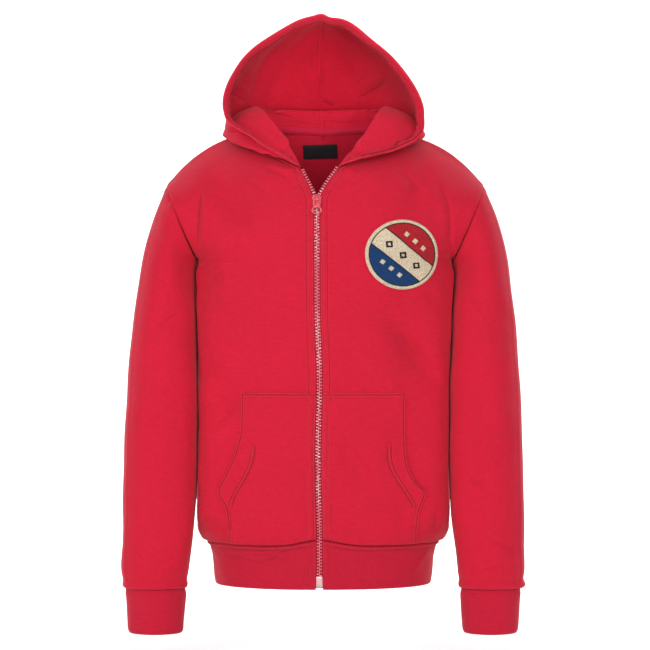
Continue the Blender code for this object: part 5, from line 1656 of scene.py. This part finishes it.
# ---- the hood
@dataclass
class Hood:
    """The two halves of the hood, seamed over the head and down the back."""

    cut: tuple = (0.300, 0.400)
    area: float = 0.090
    pitch: float = 2.4
    thick: float = 1.9
    turned: float = 2.2
    sunk: float = 1.9
    band: float = 12.7
    swing: float = 6.5
    dense: int = 260

    def net(self, side: Side) -> Array:
        """The hood's lines bottom up, each with seven stations from the face edge back."""
        shares = np.linspace(0, 1, 7)
        lines = [PATTERN.neck_seam(shares)] + [np.array(line) for line in HOOD_LOW.values()]
        for start, (x1, y1, z1, wide, y2, z2) in zip(FACE_EDGE[side.tag][2:], HOOD_WALL.values()):
            net = np.array([start, (x1, y1, z1), (wide, y2, z2), (0.0, y2, z2)], float)
            lines.append(arc(net[None], shares))
        return np.array(lines)

    def surface(self, side: Side) -> Surface:
        """One half's outer surface.

        Formula: the lines are read smoothly along their stations, then joined bottom up
        without overshoot; the first columns are drawn to the face edge, and all are set at
        fixed distances from it.
        """
        net = self.net(side)
        span = np.linalg.norm(np.diff(net[:, 2:], axis=0), axis=2).mean(axis=1)
        knots = np.concatenate([[0.0], np.cumsum(span)])
        share = np.linspace(0, 1, self.dense)
        at = spread(knots[-1], (PATTERN.seam_gap, *SEAM_SIDE[2:]), SEAM_SIDE, self.pitch)[0]
        across = flow(share, np.linspace(0, 1, 7), net.transpose(1, 0, 2)).transpose(1, 0, 2)
        across[0] = PATTERN.neck_seam(share)
        grid = glide(at, knots, across)
        third = (knots[5] - knots[4]) / 3
        edge_knots = np.concatenate([knots[:5], [knots[4] + third, knots[5] - third], knots[5:]])
        low = [line[0] for line in HOOD_LOW.values()]
        edge = flow(at, edge_knots, np.array([across[0, 0], *low, *FACE_EDGE[side.tag]]))
        grid += (edge - grid[:, 0])[:, None] * (1 - fade(share / 0.17))[None, :, None]
        grid[..., 0] = np.maximum(grid[..., 0], PATTERN.seam_gap / 2)
        travel = Surface(grid).travel(1)
        grid = along_rows(spread(travel[:, -1], FACE_SIDE, SEAM_SIDE, self.pitch), travel, grid)
        even = Surface(PATTERN.settle(grid * [side.value, 1.0, 1.0], "hood"), side.value)
        return even.raised(self.relief(even, side))

    def relief(self, cloth: Surface, side: Side) -> Array:
        """The seams at the back, over the head and at the neck, and the cloth's unevenness."""
        face, back, low, top = cloth.edges()
        x, y, z = (cloth.points[..., k] for k in range(3))
        seed = 0.9 if side is Side.LEFT else 2.7
        wall = fade((low - 55) / 25)
        # the turned band stands forward, and the wall swings back behind it
        swing = fade(face / 11) * (1 - fade((face - self.band - 2) / 38)) * fade((low - 62) / 30)
        soft = wall * fade(back / 12) * fade(top / 15)
        total = 3.4 * uneven(x + y * 0.6, z - y * 0.4, 62.0, seed) * soft - self.swing * swing
        total += creased(f"hood_{side.tag}", x, z) * wall * fade((face - self.band) / 6)
        # the lapel rolls over behind its edge
        lapel = fade((low - 12) / 12) * (1 - fade((low - 70) / 20))
        total += lapel * (bell(face, 16.0, 4.5, -2.6) + bell(face, 26.0, 6.0, 1.6)
                                 + bell(face, 40.0, 6.0, -1.3))
        total += creased(f"stand_{side.tag}", x, z) * (1 - fade((low - 20) / 14)) * fade(low / 8)
        for distance in (back, top):
            total += bell(distance, 0.0, 1.5, -0.5) + bell(distance, 4.5, 3.0, 0.2)
            total += 0.35 * uneven(z + y, distance, 12.0, seed) * np.exp(-distance / 9)
        total += bell(low, 0.0, 1.4, -0.6)
        ripple = uneven(x - z, y + z, 17.0, seed + 1)
        total += 1.0 * ripple * np.exp(-((face - self.band - 3) / 6) ** 2) * fade(low / 60)
        return total

    def build(self, wardrobe: Wardrobe) -> None:
        """Make both halves, with the turned band round the face and its row of stitches."""
        stitch = FACE_SIDE.index(FACE_STITCH)
        for side in Side:
            surface = self.surface(side)
            face, _, low, _ = surface.edges()
            here = fade((low - 9) / 20)
            turned = (1 - fade((face - self.band) / 1.1)) * here
            groove = bell(face, FACE_STITCH, 0.75, 1.0) * here
            outer = surface.raised(0.5 * turned - 0.4 * groove)
            thick = self.thick + self.turned * turned - self.sunk * groove
            thick = thick - 0.8 * rounding(face, 1.7) * here
            name = f"hood_{side.tag}"
            made = Cloth.of(outer).wall(thick.reshape(-1), swell=0.5)
            piece = wardrobe.dress(name, "cloth", made, "fleece")
            rows = low[:, stitch] > 27
            line, normals = outer.points[rows, stitch], outer.normals[rows, stitch]
            sewing = Sewing(f"{name}.stitches")
            sewing.add(line, normals)
            sewing.add(line - normals * thick[rows, stitch][:, None], -normals)
            stitches = sewing.make(wardrobe)


# ---- pockets, patch, label, tape
@dataclass
class Pockets:
    """Kangaroo pockets, each with a turned and stitched hand opening."""

    cut: tuple = (0.150, 0.215)
    area: float = 0.0255
    gap: float = 0.35
    thick: float = 1.9
    low: float = -503.0
    top: float = -313.0
    corner: float = -457.0
    facing_top: float = -374.0
    pitch: float = 2.4

    def columns(self, side: Side, height: Array) -> Array:
        """Distances from the middle at which each row of a pocket is cut.

        Formula: straight lines between the zip's edge, the sewn facing and the outer edge,
        with closer steps at those three.

        Args:
            side: which pocket.
            height: heights of the rows.

        Returns:
            One row of distances for each height.
        """
        reach = read_table(height, POCKET_EDGE[side.tag])[:, 0]
        facing = read_table(height, FACING_EDGE[side.tag])[:, 0]
        start = np.full(len(height), PATTERN.zip_half + 0.4)
        anchors = np.stack([start, start + 13.2, facing - 3.0, facing + 3.0, reach - 3.2,
                            reach - 0.8, reach], axis=1)
        known = np.broadcast_to(np.array([0.0, 20.0, 48.0, 60.0, 66.0, 72.0, 75.0]), anchors.shape)
        at = np.broadcast_to(np.arange(76.0), (len(height), 76))
        return along_rows(at, known.copy(), anchors)

    def surface(self, side: Side, fronts: Fronts) -> tuple[Surface, Array]:
        """A pocket's outer surface, read off the front's own, and the heights of its rows."""
        tall = self.top - self.low
        height = self.low + spread(tall, SEAM_SIDE[:5], POCKET_TOP_SIDE, self.pitch)[0]
        x = self.columns(side, height)
        z = np.broadcast_to(height[:, None], x.shape)
        points, normals = fronts.halves[side].read(*PATTERN.locate(Face.FRONT, x, z))
        base = Surface(points, side.value)
        inner, outer, _, high = base.edges()
        facing = x - read_table(height, FACING_EDGE[side.tag])
        slit = fade((z - self.corner) / 8) * fade((-345 - z) / 25)
        sewn = fade((z - self.corner + 2) / 6) * fade((self.facing_top - z) / 14)
        gape = np.exp(-outer / 18) * np.exp(-((z + 418) / 30) ** 2)
        lift = self.gap + self.thick + 3.0 * gape * slit
        lift = lift - rounding(high, 1.3) - rounding(outer, 1.3) - rounding(inner, 1.2)
        for at in TOP_STITCHES:
            lift += bell(high, at, 0.9, -1.1)
        lift += bell(high, 4.6, 1.2, 0.5)
        lift += bell(outer, 2.0, 0.9, -1.0) + bell(outer, 4.4, 1.2, 0.4)
        lift += sewn * (bell(facing, 0.0, 1.1, 0.9) + bell(facing, 2.3, 0.9, -1.1)
                              + bell(facing, -2.3, 0.9, -1.1))
        for at in ZIP_STITCHES:
            lift += bell(inner, at - 0.4, 0.7, -0.6)
        return Surface(points + normals * lift[..., None], side.value), height

    def build(self, wardrobe: Wardrobe, fronts: Fronts) -> None:
        """Lay a pocket on each front and sew it."""
        for side in Side:
            surface, height = self.surface(side, fronts)
            name = f"pocket_{side.tag}"
            piece = wardrobe.dress(name, "cloth", Cloth.of(surface).wall(self.thick), "fleece")
            rows = np.arange(len(height), dtype=float)
            sewing = Sewing(f"{name}.stitches")
            for at in TOP_STITCHES:
                k = -1 - POCKET_TOP_SIDE.index(at)
                sewing.add(surface.points[k, 3:-3], surface.normals[k, 3:-3])
            slanted = (height > self.corner) & (height < self.facing_top)
            for offset in (-3.2, 3.2):
                line = rows[slanted]
                sewing.add(*surface.read(line, np.full(len(line), 54.0 + offset)))
            below = rows[(height < self.corner - 3) & (height > self.low + 3)]
            sewing.add(*surface.read(below, np.full(len(below), 68.5)))
            for at in ZIP_STITCHES:
                sewing.add(*surface.read(rows[2:-2], np.full(len(rows) - 4, (at - 0.4) / 0.66)))
            stitches = sewing.make(wardrobe)


@dataclass
class Patch:
    """The round felt patch on the wearer's left chest."""

    radius: float = 44.0
    x: float = 99.0
    z: float = -139.0
    gap: float = 0.35
    thick: float = 1.9
    cells: int = 72

    def build(self, wardrobe: Wardrobe, fronts: Fronts) -> None:
        """A square grid bent into a disc and laid on the front, its rim raised and grooved.

        Formula: a square's x and y, each scaled by the root of one less half the other's
        square, fill a disc.
        """
        u, v = np.meshgrid(np.linspace(-1, 1, self.cells), np.linspace(-1, 1, self.cells))
        disc_u = self.radius * u * np.sqrt(1 - v * v / 2)
        disc_v = self.radius * v * np.sqrt(1 - u * u / 2)
        row, part = PATTERN.locate(Face.FRONT, self.x + disc_u, self.z + disc_v)
        points, normals = fronts.halves[Side.LEFT].read(row, part)
        out = np.hypot(disc_u, disc_v)
        lift = self.gap + self.thick + bell(out, 42.0, 1.6, 0.5) + bell(out, 39.4, 0.9, -0.4)
        lift += 0.12 * uneven(disc_u, disc_v, 5.0, 1.1)
        lift = lift - 0.6 * rounding(self.radius - out, 1.5)
        cloth = Cloth.of(Surface(points + normals * lift[..., None]))
        flat = np.stack([disc_u + self.radius, disc_v + self.radius], axis=-1).reshape(-1, 2)
        cloth.lengths = flat[cloth.faces]
        piece = wardrobe.dress("chest_patch", "felt", cloth.wall(self.thick), "felt")


@dataclass
class NeckInside:
    """The tape over the back neck seam and the label below it, both inside."""

    tape_half: float = 4.0
    tape_thick: float = 0.9
    tape_stitches: tuple = (1.2, 8.8)
    cloth: float = 1.9
    gap: float = 0.55
    last_row: float = 9.0
    label_wide: float = 46.0
    label_high: float = 18.0
    label_x: float = -6.0
    label_top: float = 13.0
    label_tilt: float = 0.03
    label_thick: float = 0.7

    def tape(self) -> Surface:
        """The tape's surface: its lower edge lies on the back, its upper on the hood's stand.

        Formula: across the seam it runs square to it, down the back by one normal and up the
        stand by the other, and bends between them.
        """
        row = np.linspace(PATTERN.neck_row, self.last_row, 44)
        seam = PATTERN.point(Face.BACK, row, 0 * row)
        tiny = 1e-3
        by_row = PATTERN.point(Face.BACK, row + tiny, 0 * row) - seam
        by_part = PATTERN.point(Face.BACK, row, 0 * row + tiny) - seam
        panel = unit(np.cross(by_row, by_part))
        share = 1 - (row - PATTERN.neck_row) / (2 * (PATTERN.yoke_rows - PATTERN.neck_row))
        stand = flow(share, np.linspace(0, 1, 7), np.array(HOOD_LOW["stand"])) - seam
        along = np.gradient(seam, axis=0)
        along[0] = [1.0, 0.0, 0.0]
        upright = unit(np.cross(along, stand))
        panel *= np.sign(panel[:, 1:2] + 1e-9)
        upright *= np.sign(upright[:, 1:2] + 1e-9)
        lines = []
        for part in np.linspace(-1, 1, 11):
            bend = fade((part + 1) / 2)
            normal = unit(panel * (1 - bend) + upright * bend)
            square = unit(np.cross(along, normal))
            square *= np.sign(square[:, 2:])
            lines.append(seam + square * part * self.tape_half - normal * (self.cloth + self.gap))
        grid = np.array(lines)
        grid = np.concatenate([grid[:, :0:-1], grid * [-1.0, 1.0, 1.0]], axis=1)
        return Surface(PATTERN.settle(grid, "hood"), -1.0)

    def build(self, wardrobe: Wardrobe) -> None:
        """Make the tape with its stitches, and the label."""
        surface = self.tape()
        surface = surface.raised(self.tape_thick)
        made = Cloth.of(surface).wall(self.tape_thick)
        piece = wardrobe.dress("neck_tape", "woven", made, "tape")
        sewing = Sewing("neck_tape.stitches")
        columns = np.arange(surface.points.shape[1], dtype=float)
        for line in self.tape_stitches:
            sewing.add(*surface.read(0 * columns + line, columns))
        stitches = sewing.make(wardrobe)

        across, down = np.meshgrid(np.linspace(-0.5, 0.5, 47), np.linspace(-1, 0, 19))
        x = self.label_x + across * self.label_wide
        z = self.label_top + down * self.label_high + self.label_tilt * (x - self.label_x)
        row, part = PATTERN.locate(Face.BACK, x, z)
        points = PATTERN.point(Face.BACK, row, part)
        points[..., 0] *= np.where(x < 0, -1.0, 1.0)
        even = Surface(PATTERN.settle(points, "body"), 1.0)
        edge = np.minimum.reduce(even.edges())
        lift = self.cloth + self.gap + self.label_thick + 0.35 * fade(edge / 5)
        lift += 0.15 * uneven(x, z, 9.0, 0.6)
        made = Cloth.of(even.raised(lift)).wall(self.label_thick)
        piece = wardrobe.dress("neck_label", "woven", made, "label")


# ---- the zip
@dataclass
class Zip:
    """Tapes, teeth, slider, pull tab and box."""

    deep: float = 2.6
    tape_thick: float = 1.0
    tape_up: float = 2.0
    box_top: float = -545.5
    pitch: float = 3.9
    tooth_high: float = 2.3
    tooth_out: float = -0.85
    overlap: float = 0.75
    slider_top: float = -63.5
    slider_long: float = 15.0
    clear: float = 0.35
    plate_thick: float = 1.5
    tab_out: float = 3.1
    tab_thick: float = 1.5
    bridge_half: float = 1.45
    bridge_thick: float = 0.75
    box_half: float = 4.1
    box_low: float = -559.5
    box_proud: float = 0.9

    def edge(self) -> tuple[Array, Array]:
        """The folded edge of the left front beside the zip, from the hem up, and its normals."""
        heights = np.linspace(HEM[-1][0] + self.tape_up, HEM[0][0] - 1.0, 40)
        deep = read_table(heights, HEM)[:, 1]
        hem = np.stack([np.full(40, PATTERN.zip_half), -deep, heights], axis=1)
        rows = np.linspace(PATTERN.row_at(PATTERN.hem_seam), PATTERN.neck_row, 420)
        points = np.concatenate([hem, PATTERN.point(Face.FRONT, rows, 0 * rows)])
        along = np.gradient(points, axis=0)
        return points, unit(np.stack([0 * along[:, 0], -along[:, 2], along[:, 1]], axis=1))

    def lines(self, side: Side) -> tuple[Array, Array, Array, Array]:
        """The settled edge with its frame.

        Args:
            side: which half of the zip.

        Returns:
            Points, outward normals, unit vectors towards the other half, and arc length.
        """
        points, normals = self.edge()
        mirror = np.array([side.value, 1.0, 1.0])
        settled, normals = PATTERN.settle(points * mirror, "body"), normals * mirror
        inward = unit(np.cross(unit(np.gradient(settled, axis=0)), normals))
        inward *= -np.sign(inward[:, :1]) * side.value
        return settled, normals, inward, arc_length(settled)

    def tape(self, side: Side, wardrobe: Wardrobe) -> bpy.types.Object:
        """One tape: a flat strip behind the front's edge, with a corded edge under the teeth."""
        points, normals, inward, _ = (line[::2] for line in self.lines(side))
        across = np.array([4.0, 3.6, 3.0, 2.4, 1.8, 1.2, 0.6, 0.0, -1.5, -3.0, -5.0, -6.6, -7.0])
        cord = bell(across, 2.6, 0.8, 0.9) - self.deep
        grid = (points[:, None] + inward[:, None] * across[None, :, None]
                + normals[:, None] * cord[None, :, None])
        surface = Surface(grid)
        if (surface.normals * normals[:, None]).sum() < 0:
            surface = Surface(grid, -1.0)
        made = Cloth.of(surface).wall(self.tape_thick)
        return wardrobe.dress(f"zip_tape_{side.tag}", "woven", made, "tape")

    def teeth(self, side: Side, wardrobe: Wardrobe) -> bpy.types.Object:
        """The teeth of one side.

        Formula: each is a row of six rounded rings from its head, past the middle, to its
        foot on the tape; the other side's teeth are half a pitch higher.
        """
        points, normals, inward, travel = self.lines(side)
        start = np.interp(self.box_top + 2.0, points[:, 2], travel)
        first = start + (0.0 if side is Side.LEFT else self.pitch / 2)
        at = np.arange(first, travel[-1] - 1.5, self.pitch)
        centre, out, way = (read_line(at, travel, a) for a in (points, normals, inward))
        up = unit(np.cross(way, out))
        over = self.overlap
        reach = PATTERN.zip_half + np.array([over, over - 0.3, -0.5, -1.1, -2.6, -3.3])
        tall = np.array([0.45, 0.92, 0.92, 0.60, 0.95, 0.70]) * self.tooth_high / 2
        deep = np.array([0.55, 1.05, 1.15, 1.0, 1.15, 0.95])
        across, around = oblong(8, 0.7, 0.7)
        rings = ringed(centre, (way, reach[:, None]), (up, tall[:, None] * across),
                       (out, deep[:, None] * around + self.tooth_out))
        piece = finished(f"zip_teeth_{side.tag}", *shells(rings), wardrobe.get("teeth"))
        return piece

    def slider_frame(self) -> tuple[Array, Array, float]:
        """The slider's place, its axes across, out and up, and how far the fronts bulge there.

        Formula: up runs along the chain behind it, and out is square to it.
        """
        middle = PATTERN.settle(self.edge()[0] * [0.0, 1.0, 1.0], "body")
        steps = self.slider_top - self.slider_long * np.linspace(0, 1, 9)
        line = read_line(steps, middle[:, 2], middle)
        up = unit(line[0] - line[-1])
        across = unit(np.cross(up, [0.0, -1.0, 0.0]))
        out = np.cross(across, up)
        bulge = float(((line - line[0]) @ out).max())
        return line[0] + out * bulge, np.array([across, out, up]), bulge

    @staticmethod
    def plate(up: Array, half: Array, low: float, high: float, crown: float) -> Array:
        """Rings of a rounded plate: at each height a rounded oblong, domed by crown in front."""
        wide, deep = oblong(20, 0.45, 0.55)
        thick = (high - low) / 2
        out = (low + high) / 2 + deep * thick + np.where(deep > 0, crown * (1 - wide ** 2), 0.0)
        return np.stack(np.broadcast_arrays(half[:, None] * wide, out[None], up[:, None]), axis=-1)

    @staticmethod
    def bar(path: Array, side: Array, half: float, thick: float) -> Array:
        """Rings of a rounded bar, one for each point of a path.

        Args:
            path: points of its middle.
            side: unit vector square to the path's plane.
            half: half width along side.
            thick: half thickness in the plane.

        Returns:
            Points by ring and place.
        """
        away = np.cross(unit(np.gradient(path, axis=0)), side)
        wide, deep = oblong(12, 0.7, 0.7)
        return (path[:, None] + side * (half * wide)[None, :, None]
                + away[:, None] * (thick * deep)[None, :, None])

    def slider(self, wardrobe: Wardrobe) -> None:
        """The slider: two plates, the post between them, and the bridge over the tab's bar."""
        at, axes, bulge = self.slider_frame()
        up = np.linspace(SLIDER_PLATE[0][0], SLIDER_PLATE[-1][0], 26)
        half = read_table(up, SLIDER_PLATE)[:, 0]
        from_middle = np.abs(up - up.mean()) / (self.slider_long / 2 + 0.02)
        end = np.sqrt(np.clip(1 - from_middle ** 12, 0, 1))
        front = self.plate(up, half * end, self.clear, self.clear + self.plate_thick, 0.35)
        behind = -(self.deep + self.tape_thick + 2 * self.clear + bulge)
        back = self.plate(up, half * end, behind - self.plate_thick, behind, 0.0)
        corners = ((-1.3, -0.7), (1.3, -0.7), (0.9, -4.2), (-0.9, -4.2))
        post = np.array([[(x, out, z) for x, z in corners]
                         for out in (behind - 0.4, self.clear + 0.6)])
        turn = np.linspace(0, np.pi, 17)
        path = np.stack([0 * turn, 1.0 + 4.4 * np.sin(turn) ** 0.6,
                         -6.0 + 3.7 * np.cos(turn)], axis=1)
        bridge = self.bar(path, np.array([1.0, 0.0, 0.0]), self.bridge_half, self.bridge_thick)
        parts = [shells((at + rings @ axes)[None]) for rings in (front, back, post, bridge)]
        first = np.cumsum([0] + [len(points) for points, _ in parts])
        made = (np.concatenate([points for points, _ in parts]),
                np.concatenate([faces + k for (_, faces), k in zip(parts, first)]), None)
        wardrobe.dress("zip_slider", "cast", made, "paint")

    def tab(self, wardrobe: Wardrobe) -> None:
        """The pull tab: a frame round the bridge, a neck, and an oval ring at its end.

        Formula: a flat sheet of quads with two openings, thickened and rounded.
        """
        rows = np.array([[(x, self.tab_out, up) for x in (-half, -core, core, half)]
                         for up, half, core in PULL_TAB_SHAPE])
        at, axes, _ = self.slider_frame()
        points = at + rows @ axes
        faces, _ = Surface(points).quads()
        row, column = np.divmod(np.arange(len(faces)), 3)
        holes = (column == 1) & np.isin(row, PULL_TAB_OPEN)
        made = points.reshape(-1, 3), faces[~holes], None
        piece = wardrobe.dress("zip_pull_tab", "cast", made, "paint", body=PULL_TAB)
        thicken = piece.modifiers.new("thicken", "SOLIDIFY")
        thicken.thickness, thicken.offset = self.tab_thick * MM, 0.0
        smooth = piece.modifiers.new("round", "SUBSURF")
        smooth.levels = smooth.render_levels = 3

    def box(self, wardrobe: Wardrobe) -> None:
        """The box at the zip's lower end: a rounded block with a groove down its middle."""
        points, _ = self.edge()
        heights = np.linspace(self.box_low, self.box_top - 0.3, 16)
        depth = np.interp(heights, points[:, 2], points[:, 1])
        wide, deep = oblong(32, 0.5, 0.6)
        end = np.clip(1 - np.abs(2 * np.arange(16) / 15 - 1) ** 10, 0.25, 1)[:, None]
        half = self.box_half * (0.85 + 0.15 * end)
        front = self.box_proud - 0.5 * (1 - end) - 0.7 * np.exp(-(wide / 0.13) ** 2)
        out = depth[:, None] - np.where(deep > 0, deep * front, deep * (self.deep - 0.3))
        rings = np.stack(np.broadcast_arrays(half * wide, out, heights[:, None]), axis=-1)
        made = *shells(PATTERN.settle(rings, "body")[None]), None
        wardrobe.dress("zip_box", "cast", made, "box")

    def build(self, wardrobe: Wardrobe) -> None:
        """Make both sides of the chain and the cast metal parts."""
        for side in Side:
            tape = self.tape(side, wardrobe)
            teeth = self.teeth(side, wardrobe)
        self.slider(wardrobe)
        self.tab(wardrobe)
        self.box(wardrobe)


# ---- studio
# what the lights face: the middle of the garment, and the backdrop behind it
TORSO, WALL = (0.0, 0.0, -0.2), (0.0, 3.2, -0.4)


@dataclass
class Studio:
    """Pale floor and backdrop in one sweep, soft lights, and the camera."""

    floor: float = -655.0
    half_wide: float = 5000.0
    bend_start: float = 3300.0
    bend: float = 900.0
    high: float = 4200.0
    camera: tuple = (2.6, -3000.0, -227.5)
    lens: float = 127.8
    sight: float = 50.0
    world: float = 0.20
    # name, place in metres, what it faces, size, power
    lights: tuple = (
        ("key", (-1.5, -2.7, 1.0), TORSO, 1.0, 20.0),
        ("second", (1.6, -2.7, 1.0), TORSO, 1.0, 17.0),
        ("left", (-2.2, -2.2, -0.2), TORSO, 1.2, 13.0),
        ("front", (0.1, -3.6, 0.9), TORSO, 1.2, 20.0),
        ("low", (0.0, -3.4, -0.5), TORSO, 1.4, 28.0),
        ("top", (0.0, -0.8, 2.3), TORSO, 1.2, 8.0),
        ("behind", (0.5, 1.5, 1.4), TORSO, 1.2, 10.0),
        ("wall left", (-1.6, 1.3, 1.1), WALL, 1.2, 80.0),
        ("wall right", (1.6, 1.3, 1.1), WALL, 1.2, 80.0),
    )
    # a narrow light into the hood: place, what it faces, cone, size, power
    hood_light: tuple = ((0.55, -2.2, -0.25), (-0.01, 0.0, 0.122), 0.11, 0.08, 105.0)

    def sweep(self, wardrobe: Wardrobe) -> None:
        """Floor and backdrop: a profile that runs back, bends up in a quarter circle and rises."""
        turn = np.linspace(0, np.pi / 2, 14)[1:]
        start, bend = self.bend_start, self.bend
        y = np.concatenate([[-self.half_wide, start], start + bend * np.sin(turn), [start + bend]])
        z = np.concatenate([[0.0, 0.0], bend - bend * np.cos(turn), [self.high]]) + self.floor
        x = np.linspace(-self.half_wide, self.half_wide, 9)
        grid = np.stack(np.broadcast_arrays(x[None, :], y[:, None], z[:, None]), axis=-1)
        faces, _ = Surface(grid).quads()
        mesh = bpy.data.meshes.new("sweep")
        mesh.from_pydata((grid.reshape(-1, 3) * MM).tolist(), [], faces.tolist())
        mesh.shade_smooth()
        mesh.materials.append(wardrobe.get("stage"))
        stage = bpy.data.objects.new("sweep", mesh)
        bpy.context.scene.collection.objects.link(stage)

    @staticmethod
    def put(name: str, data: bpy.types.ID, place: Matrix) -> bpy.types.Object:
        """An object of a light or a camera, in its place in the scene."""
        made = bpy.data.objects.new(name, data)
        made.matrix_world = place
        bpy.context.scene.collection.objects.link(made)
        return made

    def light(self, name: str, kind: str, place: tuple, aim: tuple, **settings: Any) -> None:
        """Put a light.

        Args:
            name: its name.
            kind: its type.
            place: where it stands, in metres.
            aim: the point that it faces.
            settings: its own settings.
        """
        data = bpy.data.lights.new(name, kind)
        for key, value in settings.items():
            setattr(data, key, value)
        turn = (Vector(aim) - Vector(place)).to_track_quat("-Z", "Y").to_matrix().to_4x4()
        self.put(name, data, Matrix.Translation(place) @ turn)

    def build(self, wardrobe: Wardrobe) -> None:
        """Set the floor, the world, the lights and the camera."""
        self.sweep(wardrobe)
        scene = bpy.context.scene
        world = scene.world = bpy.data.worlds.new("studio")
        world.use_nodes = True
        ground = world.node_tree.nodes["Background"]
        ground.inputs["Color"].default_value = (1.0, 1.0, 1.0, 1.0)
        ground.inputs["Strength"].default_value = self.world
        for name, place, aim, size, power in self.lights:
            self.light(name, "AREA", place, aim, shape="DISK", size=size, energy=power)
        place, aim, cone, size, power = self.hood_light
        self.light("into the hood", "SPOT", place, aim, spot_size=cone, spot_blend=1.0,
                   shadow_soft_size=size, energy=power)
        data = bpy.data.cameras.new("camera")
        data.lens, data.clip_end = self.lens, self.sight
        place = Matrix.Translation(Vector(self.camera) * MM) @ Matrix.Rotation(np.pi / 2, 4, "X")
        scene.camera = self.put("camera", data, place)
        scene.view_settings.view_transform = "Standard"
        scene.view_settings.look = "None"


def main() -> None:
    """Build every sub-assembly in order."""
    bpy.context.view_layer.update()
    wardrobe = Wardrobe()
    Studio().build(wardrobe)
    fronts = Fronts()
    fronts.build(wardrobe)
    Back().build(wardrobe)
    HemRib().build(wardrobe)
    Sleeves().build(wardrobe)
    Hood().build(wardrobe)
    Pockets().build(wardrobe, fronts)
    Patch().build(wardrobe, fronts)
    NeckInside().build(wardrobe)
    Zip().build(wardrobe)


if __name__ == "__main__":
    main()
